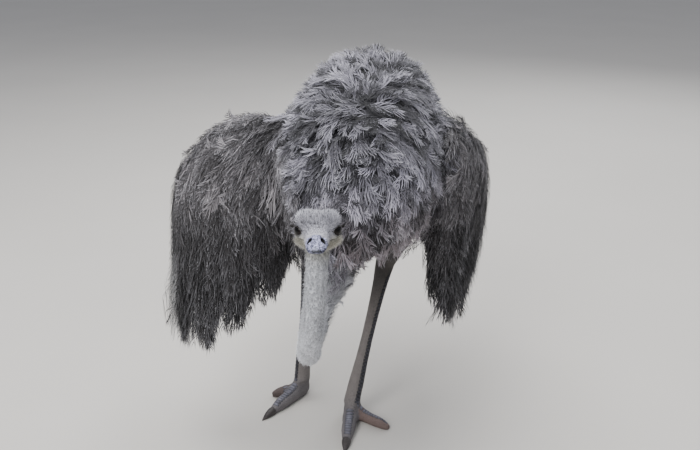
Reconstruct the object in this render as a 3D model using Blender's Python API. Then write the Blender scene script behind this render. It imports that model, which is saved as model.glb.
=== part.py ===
"""A standing ostrich, life size, as closed solids that meet with a thin gap.

The bird faces -Y, +Z is up and +X is its left side. It stands with its neck let down in a
forward loop, its head raised again and looking ahead, and its wings drooped and held out.
Every length is in metres.
"""

import math

import bmesh
import bpy
from mathutils import Vector

# ---- Driving dimensions -------------------------------------------------------------

GAP = 0.0003
ROOM = 2.0 * GAP
FLOOR = 0.0
UP = Vector((0.0, 0.0, 1.0))
LEFTWARD = Vector((1.0, 0.0, 0.0))

# The trunk runs from the breast to the rump, with the contour feathers on it.
TRUNK_FRONT = Vector((-0.014, -0.392, 0.855))
TRUNK_BACK = Vector((0.100, 0.455, 0.930))
TRUNK_HALF_WIDTH = 0.238
TRUNK_ABOVE = 0.257
TRUNK_BELOW = 0.238
TRUNK_ARCH = 0.10
TRUNK_SKEW = -0.13
TRUNK_ROUNDNESS = 2.4
TRUNK_RINGS = 24
TRUNK_SIDES = 28
CLUMP_DEPTH = 0.007

# The tail is a drooping fan of plumes.
TAIL_PATH = (
    Vector((0.080, 0.340, 0.930)),
    Vector((0.095, 0.450, 0.918)),
    Vector((0.106, 0.545, 0.850)),
    Vector((0.112, 0.598, 0.755)),
    Vector((0.114, 0.620, 0.650)),
)
TAIL_HALF_WIDTHS = (0.105, 0.135, 0.155, 0.150, 0.110)
TAIL_HALF_DEPTHS = (0.070, 0.078, 0.078, 0.062, 0.030)

# The neck leaves the breast, hangs in a forward loop and rises to the head.
NECK_PATH = (
    Vector((0.005, -0.215, 0.800)),
    Vector((-0.028, -0.285, 0.690)),
    Vector((-0.066, -0.333, 0.588)),
    Vector((-0.097, -0.392, 0.520)),
    Vector((-0.102, -0.460, 0.514)),
    Vector((-0.097, -0.514, 0.572)),
    Vector((-0.086, -0.525, 0.665)),
    Vector((-0.078, -0.512, 0.755)),
    Vector((-0.073, -0.485, 0.850)),
)
NECK_RADII = (0.080, 0.062, 0.046, 0.036, 0.033, 0.032, 0.0305, 0.0295, 0.032)
NECK_CUTS = (0.0, 0.31, 0.50, 0.68, 1.0)
NECK_NAMES = ("neck_root", "neck_lower", "neck_middle", "neck_upper")

# The head, in its own frame: the point between the eyes, the bill's direction and up.
HEAD_POINT = Vector((-0.0725, -0.530, 0.8700))
HEAD_PITCH = math.radians(5.0)
HEAD_STATIONS = (-0.058, -0.040, -0.018, 0.004, 0.026, 0.046, 0.066, 0.092, 0.118, 0.139, 0.150)
HEAD_HALF_WIDTHS = (0.021, 0.038, 0.047, 0.049, 0.043, 0.0320, 0.0260, 0.0240, 0.0222, 0.0170, 0.0072)
HEAD_TOPS = (0.015, 0.030, 0.0385, 0.040, 0.035, 0.024, 0.0165, 0.0130, 0.0088, 0.004, -0.002)
HEAD_BOTTOMS = (0.020, 0.036, 0.042, 0.042, 0.038, 0.033, 0.029, 0.024, 0.0195, 0.015, 0.0095)
HEAD_RINGS = 22
SKULL_SQUARENESS = 2.4
BILL_SQUARENESS = 2.15
HEAD_SIDES = 20
BILL_ROOT = 0.050
MOUTH_HEIGHT_AT_ROOT = -0.0130
MOUTH_HEIGHT_AT_TIP = -0.0075
BILL_TIP = 0.1500
EYE_RADIUS = 0.0205
EYE_PLACE = Vector((0.034, 0.004, 0.0015))

# Each wing hangs from an arm line, which runs from the shoulder out and back.
RIGHT_ARM = (
    Vector((-0.110, 0.050, 0.990)),
    Vector((-0.245, -0.055, 1.035)),
    Vector((-0.360, -0.085, 1.010)),
    Vector((-0.432, -0.040, 0.950)),
    Vector((-0.462, 0.065, 0.895)),
    Vector((-0.452, 0.185, 0.840)),
)
RIGHT_DROPS = (0.360, 0.505, 0.590, 0.560, 0.500, 0.380)
LEFT_ARM = (
    Vector((0.160, 0.070, 0.990)),
    Vector((0.270, -0.020, 1.020)),
    Vector((0.335, 0.020, 0.985)),
    Vector((0.368, 0.130, 0.940)),
    Vector((0.366, 0.255, 0.885)),
    Vector((0.340, 0.365, 0.825)),
)
LEFT_DROPS = (0.270, 0.580, 0.575, 0.525, 0.450, 0.330)
RIGHT_TURN = (math.radians(-30.0), math.radians(100.0))
LEFT_TURN = (math.radians(-5.0), math.radians(105.0))
RIGHT_TUCK = -0.010
LEFT_TUCK = 0.066
WING_OUT = 0.055
WING_CROWN = 0.035
WING_CROWN_SHARE = 0.32
WING_ARM_DEPTH = 0.090
WING_TIP_DEPTH = 0.030
WING_SECTIONS = 30
WING_ROWS = 9
PLUME_LOBES = 7
PLUME_RIDGE = 0.006
PLUME_RAG = 0.045

# The legs: hip and knee in the flank, hock, and the joint above the toes.
LEFT_HIP = Vector((0.165, 0.010, 0.900))
LEFT_KNEE = Vector((0.180, 0.022, 0.790))
LEFT_HOCK = Vector((0.112, 0.165, 0.500))
LEFT_ANKLE = Vector((0.004, 0.052, 0.052))
RIGHT_HIP = Vector((-0.105, 0.062, 0.900))
RIGHT_KNEE = Vector((-0.125, 0.088, 0.790))
RIGHT_HOCK = Vector((-0.132, 0.290, 0.500))
RIGHT_ANKLE = Vector((-0.160, 0.196, 0.058))
LEG_RADII = (0.078, 0.092, 0.070, 0.0420, 0.0330, 0.0235, 0.0200, 0.0300)
LEG_DEPTH = 1.22
LEG_CUTS = (0.0, 0.35, 0.572, 1.0)
LEG_NAMES = ("thigh", "shank", "tarsus")

# The toes: where each leaves the foot and where its flesh ends, on the floor.
LEFT_MAIN_TOE = (Vector((0.009, 0.100)), Vector((-0.010, -0.088)))
LEFT_OUTER_TOE = (Vector((0.016, 0.058)), Vector((0.124, -0.018)))
RIGHT_MAIN_TOE = (Vector((-0.148, 0.222)), Vector((-0.250, 0.078)))
RIGHT_OUTER_TOE = (Vector((-0.165, 0.205)), Vector((-0.262, 0.182)))
MAIN_TOE_HALF_WIDTHS = (0.0180, 0.0270, 0.0250, 0.0265, 0.0225, 0.0235, 0.0195, 0.0150)
MAIN_TOE_HEIGHTS = (0.066, 0.068, 0.058, 0.050, 0.043, 0.040, 0.034, 0.025)
OUTER_TOE_HALF_WIDTHS = (0.0200, 0.0205, 0.0180, 0.0190, 0.0165, 0.0090)
OUTER_TOE_HEIGHTS = (0.052, 0.046, 0.037, 0.034, 0.029, 0.018)
TOE_TOP_SHARE = 0.55
SOLE_SINK = 0.004
CLAW_LENGTH = 0.056
CLAW_HALF_WIDTH = 0.0150
CLAW_HEIGHT = 0.0235
CLAW_SINK = 0.003

PLUMAGE = (0.130, 0.110, 0.100)
DARK_PLUMAGE = (0.060, 0.050, 0.046)
DOWN_GREY = (0.380, 0.390, 0.410)
SKIN_GREY = (0.200, 0.170, 0.160)
BILL_GREY = (0.420, 0.420, 0.520)
HORN_DARK = (0.070, 0.060, 0.062)
EYE_DARK = (0.012, 0.009, 0.008)

# ---- Helpers ------------------------------------------------------------------------


def clear_scene():
    for thing in list(bpy.data.objects):
        bpy.data.objects.remove(thing, do_unlink=True)


def new_collection(name):
    collection = bpy.data.collections.new(name)
    bpy.context.scene.collection.children.link(collection)
    return collection


def through(values, t):
    """The value at t, from 0 to 1, on a smooth curve through evenly spaced values."""
    last = len(values) - 1
    place = min(max(t, 0.0), 1.0) * last
    i = min(int(place), last - 1)
    f = place - i
    before = values[i - 1] if i > 0 else values[i] * 2 - values[i + 1]
    after = values[i + 2] if i + 2 <= last else values[last] * 2 - values[last - 1]
    here = values[i]
    there = values[i + 1]
    bend = before * 2 - here * 5 + there * 4 - after
    twist = (here - there) * 3 + after - before
    return here + ((there - before) * f + bend * f * f + twist * f**3) * 0.5


def through_at(stations, values, t):
    """The value at t on a smooth curve through values that stand at uneven stations."""
    last = len(stations) - 1
    i = 0
    while i < last - 1 and t > stations[i + 1]:
        i += 1
    f = (t - stations[i]) / (stations[i + 1] - stations[i])
    return through(values, (i + min(max(f, 0.0), 1.0)) / last)


def power(value, exponent):
    return math.copysign(abs(value) ** exponent, value)


def oval(centre, side, up, half_width, above, below, sides, squareness=2.0):
    """A closed ring of points, rounder or squarer, with its own height above and below."""
    points = []
    for k in range(sides):
        angle = math.tau * k / sides
        across = half_width * power(math.cos(angle), 2.0 / squareness)
        rise = power(math.sin(angle), 2.0 / squareness)
        points.append(centre + side * across + up * (rise * (above if rise > 0 else below)))
    return points


def tangent_of(path, t):
    step = 0.004
    return (through(path, min(t + step, 1.0)) - through(path, max(t - step, 0.0))).normalized()


def frame_at(path, t, reference):
    """The direction of the path, and two directions across it, the second near reference."""
    forward = tangent_of(path, t)
    side = forward.cross(reference).normalized()
    return forward, side, side.cross(forward).normalized()


def skin_rings(rings):
    """A closed mesh through the rings, with a fan at each end."""
    shape = bmesh.new()
    loops = [[shape.verts.new(point) for point in ring] for ring in rings]
    sides = len(rings[0])
    for near, far in zip(loops, loops[1:]):
        for k in range(sides):
            shape.faces.new((near[k - 1], near[k], far[k], far[k - 1]))
    for loop in (loops[0], loops[-1]):
        middle = sum((vertex.co for vertex in loop), Vector()) / sides
        hub = shape.verts.new(middle)
        for k in range(sides):
            shape.faces.new((loop[k - 1], loop[k], hub))
    bmesh.ops.recalc_face_normals(shape, faces=shape.faces)
    return shape


def add_object(name, shape, collection, finish):
    mesh = bpy.data.meshes.new(name)
    bmesh.ops.triangulate(shape, faces=shape.faces)
    shape.to_mesh(mesh)
    shape.free()
    mesh.shade_smooth()
    mesh.set_sharp_from_angle(angle=math.radians(50.0))
    piece = bpy.data.objects.new(name, mesh)
    collection.objects.link(piece)
    if finish:
        colour, roughness = finish
        material = bpy.data.materials.new(name)
        material.use_nodes = True
        surface = material.node_tree.nodes["Principled BSDF"]
        surface.inputs["Base Color"].default_value = (*colour, 1.0)
        surface.inputs["Roughness"].default_value = roughness
        surface.inputs["Metallic"].default_value = 0.0
        mesh.materials.append(material)
    return piece


def cut_flat(shape, point, normal):
    """Removes what lies on the side that the normal points to, and closes the cut."""
    everything = shape.verts[:] + shape.edges[:] + shape.faces[:]
    made = bmesh.ops.bisect_plane(
        shape, geom=everything, dist=1e-7, plane_co=point, plane_no=normal, clear_outer=True
    )
    rim = [part for part in made["geom_cut"] if isinstance(part, bmesh.types.BMEdge)]
    if rim:
        bmesh.ops.holes_fill(shape, edges=rim, sides=0)
        bmesh.ops.recalc_face_normals(shape, faces=shape.faces)
    return shape


def take_away(piece, cutter):
    modifier = piece.modifiers.new("cut by " + cutter.name, "BOOLEAN")
    modifier.operation = "DIFFERENCE"
    modifier.solver = "EXACT"
    modifier.object = cutter


def make_cutter(name, shape, cutters):
    cutter = add_object(name, shape, cutters, None)
    cutter.hide_render = True
    cutter.display_type = "WIRE"
    return cutter


# ---- The body -----------------------------------------------------------------------


def trunk_shape(grow=0.0):
    """The rounded body, highest behind the shoulders, with the feathers in low clumps."""
    side = Vector((1.0, TRUNK_SKEW, 0.0)).normalized()
    length = TRUNK_BACK - TRUNK_FRONT
    rings = []
    for r in range(TRUNK_RINGS):
        s = (1.0 - math.cos(math.pi * (r + 0.5) / TRUNK_RINGS)) / 2.0
        foreness = math.cos(math.pi * s)
        fullness = (1.0 - abs(2.0 * s - 1.0) ** TRUNK_ROUNDNESS) ** 0.5
        centre = TRUNK_FRONT + length * s - length.normalized() * grow * foreness
        width = TRUNK_HALF_WIDTH * fullness * (1.0 + 0.03 * foreness)
        arch = 1.0 + TRUNK_ARCH * math.sin(math.pi * s) - 0.06 * foreness
        above = TRUNK_ABOVE * fullness * arch
        below = TRUNK_BELOW * fullness * (1.0 + 0.05 * foreness)
        ring = oval(centre, side, UP, width, above, below, TRUNK_SIDES, 2.15)
        for k, point in enumerate(ring):
            clump = math.sin(k * 2.1 + r * 1.3) * math.sin(r * 0.9 + k * 0.35)
            point += (point - centre).normalized() * (grow + CLUMP_DEPTH * fullness * clump)
        rings.append(ring)
    return skin_rings(rings)


def tail_shape():
    rings = []
    steps = 11
    for r in range(steps):
        t = r / (steps - 1)
        _, side, up = frame_at(TAIL_PATH, t, UP + Vector((0.0, 0.35, 0.0)))
        rag = 1.0 + 0.05 * math.sin(r * 2.3)
        half = through(TAIL_HALF_WIDTHS, t) * rag
        deep = through(TAIL_HALF_DEPTHS, t)
        ring = oval(through(TAIL_PATH, t), side, up, half, deep, deep, 16, 2.3)
        for k, point in enumerate(ring):
            reach = 0.035 * max(t - 0.6, 0.0) / 0.4
            point += tangent_of(TAIL_PATH, t) * reach * math.sin(k * 2.6)
        rings.append(ring)
    return skin_rings(rings)


def tube_rings(path, radius_at, start, end, steps, sides, reference, depth=1.0):
    """Rings across a path. Both end rings stand half a gap inside the stretch."""
    rings = []
    for r in range(steps):
        t = start + (end - start) * r / (steps - 1)
        forward, side, up = frame_at(path, t, reference)
        centre = through(path, t)
        if r == 0:
            centre = centre + forward * GAP / 2.0
        if r == steps - 1:
            centre = centre - forward * GAP / 2.0
        radius = radius_at(t)
        rings.append(oval(centre, side, up, radius * depth, radius, radius, sides))
    return rings


def neck_shape(start, end):
    steps = max(int(round((end - start) * 34)), 6)
    rings = tube_rings(
        NECK_PATH,
        lambda t: through(NECK_RADII, t),
        start,
        end,
        steps,
        12,
        LEFTWARD,
    )
    return skin_rings(rings)


# ---- The head -----------------------------------------------------------------------


def head_axes():
    ahead = Vector((0.0, -math.cos(HEAD_PITCH), math.sin(HEAD_PITCH)))
    up = Vector((0.0, math.sin(HEAD_PITCH), math.cos(HEAD_PITCH)))
    return LEFTWARD, ahead, up


def head_place(across, along, rise):
    side, ahead, up = head_axes()
    return HEAD_POINT + side * across + ahead * along + up * rise


def head_shape(grow=0.0):
    """Skull and bill in one: broad at the eyes, then a flat bill with a round tip."""
    side, ahead, up = head_axes()
    first = HEAD_STATIONS[0]
    last = HEAD_STATIONS[-1]
    rings = []
    for r in range(HEAD_RINGS):
        along = first + (last - first) * (1.0 - math.cos(math.pi * r / (HEAD_RINGS - 1))) / 2.0
        width = through_at(HEAD_STATIONS, HEAD_HALF_WIDTHS, along) + grow
        top = through_at(HEAD_STATIONS, HEAD_TOPS, along) + grow
        bottom = through_at(HEAD_STATIONS, HEAD_BOTTOMS, along) + grow
        waist = 0.0 if along < BILL_ROOT else -0.010 * (along - BILL_ROOT) / (BILL_TIP - BILL_ROOT)
        centre = HEAD_POINT + ahead * along + up * waist
        above = max(top - waist, 0.002)
        below = max(bottom + waist, 0.002)
        squareness = SKULL_SQUARENESS if along < BILL_ROOT else BILL_SQUARENESS
        rings.append(oval(centre, side, up, width, above, below, HEAD_SIDES, squareness))
    return skin_rings(rings)


def mouth_plane():
    side, _, _ = head_axes()
    root = head_place(0.0, BILL_ROOT, MOUTH_HEIGHT_AT_ROOT)
    tip = head_place(0.0, BILL_TIP, MOUTH_HEIGHT_AT_TIP)
    normal = side.cross(tip - root).normalized()
    return root, normal if normal.z > 0 else -normal


def eye_centre(sign):
    return head_place(sign * EYE_PLACE.x, EYE_PLACE.y, EYE_PLACE.z)


def ball(centre, radius, around, rows):
    shape = bmesh.new()
    bmesh.ops.create_uvsphere(shape, u_segments=around, v_segments=rows, radius=radius)
    bmesh.ops.translate(shape, vec=centre, verts=shape.verts)
    return shape


def build_head(parts, cutters):
    _, ahead, _ = head_axes()
    root, upward = mouth_plane()
    head = head_shape()
    cut_flat(head, head_place(0.0, BILL_ROOT - GAP / 2.0, 0.0), ahead)
    head = add_object("head", head, parts, (DOWN_GREY, 0.8))
    for name, sign in (("bill_upper", -1.0), ("bill_lower", 1.0)):
        bill = head_shape()
        cut_flat(bill, head_place(0.0, BILL_ROOT + GAP / 2.0, 0.0), -ahead)
        cut_flat(bill, root - upward * sign * GAP / 2.0, upward * sign)
        add_object(name, bill, parts, (BILL_GREY, 0.5))
    for name, sign in (("eye_right", -1.0), ("eye_left", 1.0)):
        add_object(name, ball(eye_centre(sign), EYE_RADIUS, 12, 8), parts, (EYE_DARK, 0.1))
        socket = ball(eye_centre(sign), EYE_RADIUS + ROOM, 12, 8)
        take_away(head, make_cutter("socket_" + name, socket, cutters))


# ---- The wings ----------------------------------------------------------------------


def wing_shape(arm, drops, turn, tuck, outward_sign):
    """Plumes that round over the arm and hang from it as one thick, ragged curtain."""
    rings = []
    for r in range(WING_SECTIONS):
        u = r / (WING_SECTIONS - 1)
        facing = turn[0] + (turn[1] - turn[0]) * u
        out = Vector((outward_sign * math.sin(facing), -math.cos(facing), 0.0))
        lobe = math.sin(math.tau * PLUME_LOBES * u)
        drop = through(drops, u) + PLUME_RAG * lobe * (0.5 + 0.5 * u)
        thin = min(1.0, 3.0 * (1.0 - u) + 0.35)
        outer = []
        inner = []
        for row in range(WING_ROWS):
            v = (row / (WING_ROWS - 1)) ** 1.5
            bend = 1.0 - min(v / WING_CROWN_SHARE, 1.0)
            swell = (WING_OUT + WING_CROWN) * math.sqrt(1.0 - bend * bend) - WING_CROWN
            ridge = PLUME_RIDGE * lobe * min(1.0, v * 3.0)
            across = swell + ridge - tuck * v * v
            full = math.sqrt(min(v / 0.12, 1.0))
            depth = WING_ARM_DEPTH * full * (1.0 - v) ** 0.8 + WING_TIP_DEPTH * v**0.7
            surface = through(arm, u) + out * across - UP * drop * v
            outer.append(surface)
            inner.append(surface - out * depth * thin)
        rings.append(outer + inner[:0:-1])
    return skin_rings(rings)


# ---- The legs and feet --------------------------------------------------------------


def leg_path(hip, knee, hock, ankle):
    """Thigh, drumstick and shin as one smooth line through the joints."""
    drumstick = knee.lerp(hock, 0.42)
    near_above = knee.lerp(hock, 0.78)
    near_below = hock.lerp(ankle, 0.20)
    shin = hock.lerp(ankle, 0.58)
    return (hip, knee, drumstick, near_above, hock, near_below, shin, ankle)


def leg_shape(path, start, end, grow=0.0, overrun=0.0):
    def radius_at(t):
        return through(LEG_RADII, t) + grow

    rings = tube_rings(path, radius_at, start, end, 9, 14, LEFTWARD, LEG_DEPTH)
    if overrun:
        forward = tangent_of(path, end)
        rings[-1] = [point + forward * overrun for point in rings[-1]]
    return skin_rings(rings)


def floor_rings(start, ahead, length, size_at, steps, sides, grow=0.0):
    """Rings along the floor. Each dips a little below it, so that the cut leaves a flat."""
    across = ahead.cross(UP)
    rings = []
    for r in range(steps):
        t = r / (steps - 1)
        half_width, height, sink = size_at(t)
        above = (height + sink) * TOE_TOP_SHARE
        below = (height + sink) * (1.0 - TOE_TOP_SHARE)
        middle = start + ahead * length * t + UP * (below - sink)
        rings.append(oval(middle, across, UP, half_width + grow, above + grow, below, sides, 2.2))
    return rings


def toe_shape(line, half_widths, heights, sides, grow=0.0):
    """A toe whose pads swell and whose top falls towards the tip."""
    reach = (line[1] - line[0]).to_3d()

    def size_at(t):
        return through(half_widths, t), through(heights, t), SOLE_SINK

    start = line[0].to_3d()
    return skin_rings(floor_rings(start, reach.normalized(), reach.length, size_at, 10, sides, grow))


def claw_shape(line):
    """The thick, blunt nail that goes on from the main toe and comes down to the floor."""
    ahead = (line[1] - line[0]).normalized().to_3d()

    def size_at(t):
        taper = 0.03 + 0.97 * (1.0 - t**1.7)
        return CLAW_HALF_WIDTH * taper, CLAW_HEIGHT * taper, CLAW_SINK * (1.0 - t)

    return skin_rings(floor_rings(line[1].to_3d() + ahead * GAP, ahead, CLAW_LENGTH, size_at, 6, 10))


def stand_flat(shape):
    return cut_flat(shape, UP * FLOOR, -UP)


def build_leg(word, joints, toes, trunk_cutter, parts, cutters):
    """One leg; it returns the room that the wing has to leave for the thigh."""
    path = leg_path(*joints)
    main_line, outer_line = toes
    for name, start, end in zip(LEG_NAMES, LEG_CUTS, LEG_CUTS[1:]):
        finish = (SKIN_GREY, 0.75)
        piece = add_object(name + "_" + word, leg_shape(path, start, end), parts, finish)
        if name != "tarsus":
            take_away(piece, trunk_cutter)
    shin_room = leg_shape(path, LEG_CUTS[2], LEG_CUTS[3], ROOM, ROOM)
    shin_room = make_cutter("shin_room_" + word, shin_room, cutters)
    main_sizes = (main_line, MAIN_TOE_HALF_WIDTHS, MAIN_TOE_HEIGHTS, 14)
    outer_sizes = (outer_line, OUTER_TOE_HALF_WIDTHS, OUTER_TOE_HEIGHTS, 12)
    toe_room = make_cutter("toe_room_" + word, toe_shape(*main_sizes, ROOM), cutters)
    for name, sizes, rooms in (
        ("toe_main_", main_sizes, (shin_room,)),
        ("toe_outer_", outer_sizes, (shin_room, toe_room)),
    ):
        toe = add_object(name + word, stand_flat(toe_shape(*sizes)), parts, (SKIN_GREY, 0.75))
        for room in rooms:
            take_away(toe, room)
    claw = stand_flat(claw_shape(main_line))
    add_object("claw_" + word, claw, parts, (HORN_DARK, 0.5))
    thigh_room = leg_shape(path, LEG_CUTS[0], LEG_CUTS[1], ROOM, ROOM)
    return make_cutter("thigh_room_" + word, thigh_room, cutters)


# ---- Assembly -----------------------------------------------------------------------


def centre_on_floor(parts):
    """Moves the whole bird so that the middle of its outline, seen from above, is at 0, 0."""
    bpy.context.view_layer.update()
    corners = []
    graph = bpy.context.evaluated_depsgraph_get()
    for piece in parts.objects:
        mesh = piece.evaluated_get(graph).to_mesh()
        corners += [piece.matrix_world @ vertex.co for vertex in mesh.vertices]
        piece.evaluated_get(graph).to_mesh_clear()
    middle_x = (min(c.x for c in corners) + max(c.x for c in corners)) / 2.0
    middle_y = (min(c.y for c in corners) + max(c.y for c in corners)) / 2.0
    base = bpy.data.objects.new("ostrich_base", None)
    parts.objects.link(base)
    for collection in bpy.context.scene.collection.children:
        for piece in collection.objects:
            if piece is not base:
                piece.parent = base
    base.location = (-middle_x, -middle_y, 0.0)


def main():
    clear_scene()
    parts = new_collection("ostrich")
    cutters = new_collection("cutters")

    add_object("trunk", trunk_shape(), parts, (PLUMAGE, 0.9))
    trunk_cutter = make_cutter("trunk_room", trunk_shape(ROOM), cutters)
    tail = add_object("tail", tail_shape(), parts, (PLUMAGE, 0.9))
    take_away(tail, trunk_cutter)

    build_head(parts, cutters)
    head_cutter = make_cutter("head_room", head_shape(ROOM), cutters)
    for name, start, end in zip(NECK_NAMES, NECK_CUTS, NECK_CUTS[1:]):
        piece = add_object(name, neck_shape(start, end), parts, (DOWN_GREY, 0.85))
        if start == 0.0:
            take_away(piece, trunk_cutter)
        if end == 1.0:
            take_away(piece, head_cutter)

    right_thigh_room = build_leg(
        "right",
        (RIGHT_HIP, RIGHT_KNEE, RIGHT_HOCK, RIGHT_ANKLE),
        (RIGHT_MAIN_TOE, RIGHT_OUTER_TOE),
        trunk_cutter,
        parts,
        cutters,
    )
    left_thigh_room = build_leg(
        "left",
        (LEFT_HIP, LEFT_KNEE, LEFT_HOCK, LEFT_ANKLE),
        (LEFT_MAIN_TOE, LEFT_OUTER_TOE),
        trunk_cutter,
        parts,
        cutters,
    )
    wings = (
        ("right", (RIGHT_ARM, RIGHT_DROPS, RIGHT_TURN, RIGHT_TUCK, -1.0), right_thigh_room),
        ("left", (LEFT_ARM, LEFT_DROPS, LEFT_TURN, LEFT_TUCK, 1.0), left_thigh_room),
    )
    for word, sizes, thigh_room in wings:
        wing = add_object("wing_" + word, wing_shape(*sizes), parts, (DARK_PLUMAGE, 0.9))
        take_away(wing, trunk_cutter)
        take_away(wing, thigh_room)
    centre_on_floor(parts)


main()
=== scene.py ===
"""A standing ostrich dressed over its solids: skin, bill, eyes, claws, scutes and plumage.

Laid out as an add-on and run as a script. Lengths are in metres. The bird faces -Y, +X is its
left side and +Z is up.
"""

import math

import bmesh
import bpy
import numpy as np
from mathutils import Matrix, Vector, noise
from mathutils.bvhtree import BVHTree


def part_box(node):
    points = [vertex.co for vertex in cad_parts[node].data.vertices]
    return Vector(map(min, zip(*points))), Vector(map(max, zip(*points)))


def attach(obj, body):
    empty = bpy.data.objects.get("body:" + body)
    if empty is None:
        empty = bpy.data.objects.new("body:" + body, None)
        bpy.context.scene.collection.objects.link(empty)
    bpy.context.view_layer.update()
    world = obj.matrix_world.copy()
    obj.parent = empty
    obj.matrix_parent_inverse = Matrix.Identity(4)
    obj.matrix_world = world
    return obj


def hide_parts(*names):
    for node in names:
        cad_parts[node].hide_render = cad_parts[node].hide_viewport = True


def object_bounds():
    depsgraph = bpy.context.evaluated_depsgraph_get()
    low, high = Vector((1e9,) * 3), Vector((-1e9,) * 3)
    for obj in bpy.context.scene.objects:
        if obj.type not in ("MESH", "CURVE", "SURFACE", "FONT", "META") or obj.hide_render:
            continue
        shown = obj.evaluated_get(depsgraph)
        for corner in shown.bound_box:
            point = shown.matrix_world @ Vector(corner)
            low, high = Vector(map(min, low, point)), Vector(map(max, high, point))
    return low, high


bl_info = {
    "name": "Ostrich model",
    "version": (1, 0, 0),
    "blender": (4, 5, 0),
    "location": "3D View > Sidebar > Ostrich",
    "description": "Builds the skin, bill, eyes, claws and plumage of a standing ostrich",
    "category": "Object",
}

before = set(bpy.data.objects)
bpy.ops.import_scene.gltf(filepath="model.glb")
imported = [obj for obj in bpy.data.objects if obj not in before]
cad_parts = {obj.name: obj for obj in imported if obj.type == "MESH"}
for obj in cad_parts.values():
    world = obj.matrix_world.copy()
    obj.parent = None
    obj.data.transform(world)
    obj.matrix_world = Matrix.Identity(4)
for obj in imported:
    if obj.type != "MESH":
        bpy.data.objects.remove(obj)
CAD_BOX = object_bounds()

# ---- Places taken from the solids ----


def centre_of(name):
    low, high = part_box(name)
    return (low + high) / 2.0


SIDES = ("left", "right")
NECK = ("neck_root", "neck_lower", "neck_middle", "neck_upper")
BODY_NODES = ("trunk", "tail", "wing_left", "wing_right", "thigh_left", "thigh_right")
BODY_NODES += ("shank_left", "shank_right", "neck_root", "neck_lower")
FLESH = BODY_NODES + ("neck_middle", "neck_upper", "head", "tarsus_left", "tarsus_right")
FLESH += ("toe_main_left", "toe_outer_left", "toe_main_right", "toe_outer_right")
HEAD_NODES = ("neck_upper", "head", "eye_left", "eye_right", "bill_upper", "bill_lower")
LEG_NODES = ("shank_", "tarsus_", "toe_main_", "toe_outer_")

UP = Vector((0.0, 0.0, 1.0))
ACROSS = Vector((1.0, 0.0, 0.0))
HEAD_PITCH = math.radians(5.0)
AHEAD = Vector((0.0, -math.cos(HEAD_PITCH), math.sin(HEAD_PITCH)))
CROWNWARD = Vector((0.0, math.sin(HEAD_PITCH), math.cos(HEAD_PITCH)))
EYES = {"right": centre_of("eye_right"), "left": centre_of("eye_left")}
EYE_RADIUS = (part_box("eye_left")[1].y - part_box("eye_left")[0].y) / 2.0
EYE_LOOK = (0.75, 0.65, 0.06)  # the eyes' facing: across, ahead and crownward
LID_STAND = 0.0020  # how far the lids stand over the eyeball
BROW_POINT = (EYES["right"] + EYES["left"]) / 2.0
FACE_END = 0.080  # how far ahead of the brow the face's skin runs out on the bill
SWELL = 0.0050  # how far the solids are grown before they are joined

# The place on the back from which the plumage lies outwards
WHORL = centre_of("trunk")
WHORL.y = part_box("trunk")[0].y + 0.20
WHORL.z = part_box("trunk")[1].z - 0.04

store = {}


def eye_axes(side):
    """Out of the eye, along the lids towards the bill, and up."""
    sign = 1.0 if side == "left" else -1.0
    across, ahead, high = EYE_LOOK
    out = (ACROSS * sign * across + AHEAD * ahead + CROWNWARD * high).normalized()
    along = (AHEAD - out * AHEAD.dot(out)).normalized()
    up = along.cross(out) * sign
    return out, along, up * (1.0 if up.z > 0 else -1.0)


# ---- Small helpers ----


def ease(low, high, value):
    """0 at low, 1 at high and a smooth rise between."""
    t = np.clip((value - low) / (high - low), 0.0, 1.0)
    return t * t * (3.0 - 2.0 * t)


def bell(value, middle, width):
    """1 at the middle, falling away smoothly over the width."""
    return np.exp(-(((value - middle) / width) ** 2))


def unit(vectors):
    return vectors / np.maximum(np.linalg.norm(vectors, axis=-1, keepdims=True), 1e-9)


def grainy(points, scale, seed=0.0):
    """Smooth noise from -1 to 1 at each point."""
    shift = Vector((seed, seed * 1.7, seed * 0.3))
    return np.array([noise.noise(Vector(p) * scale + shift) for p in points])


def node_shape(name):
    """A merged copy of a solid's mesh."""
    shape = bmesh.new()
    shape.from_mesh(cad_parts[name].data)
    bmesh.ops.remove_doubles(shape, verts=shape.verts, dist=1e-5)
    bmesh.ops.recalc_face_normals(shape, faces=shape.faces)
    return shape


def node_points(name):
    """A solid's points, as vectors."""
    return [vert.co.copy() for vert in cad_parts[name].data.vertices]


def mean_point(points):
    return sum(points, Vector()) / len(points)


def link(name, mesh):
    piece = bpy.data.objects.new(name, mesh)
    bpy.context.scene.collection.objects.link(piece)
    return piece


def put(name, shape, smooth=True):
    """A mesh object from a shape, linked to the scene."""
    mesh = bpy.data.meshes.new(name)
    shape.to_mesh(mesh)
    shape.free()
    if smooth:
        mesh.shade_smooth()
    return link(name, mesh)


def dress(piece, material, slot, nodes=()):
    """Gives a piece its material and body, and hides the solids that it replaces. The slot is not
    used.
    """
    piece.data.materials.append(material)
    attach(piece, "root")
    if nodes:
        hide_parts(*nodes)


def append(shape, other):
    """Adds a second shape to the first and frees it."""
    mesh = bpy.data.meshes.new("joined")
    other.to_mesh(mesh)
    other.free()
    shape.from_mesh(mesh)
    bpy.data.meshes.remove(mesh)


def soften(shape, rounds, verts=None):
    axes = {"use_axis_" + axis: True for axis in "xyz"}
    for _ in range(rounds):
        bmesh.ops.smooth_vert(shape, verts=verts or shape.verts, factor=0.5, **axes)


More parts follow.
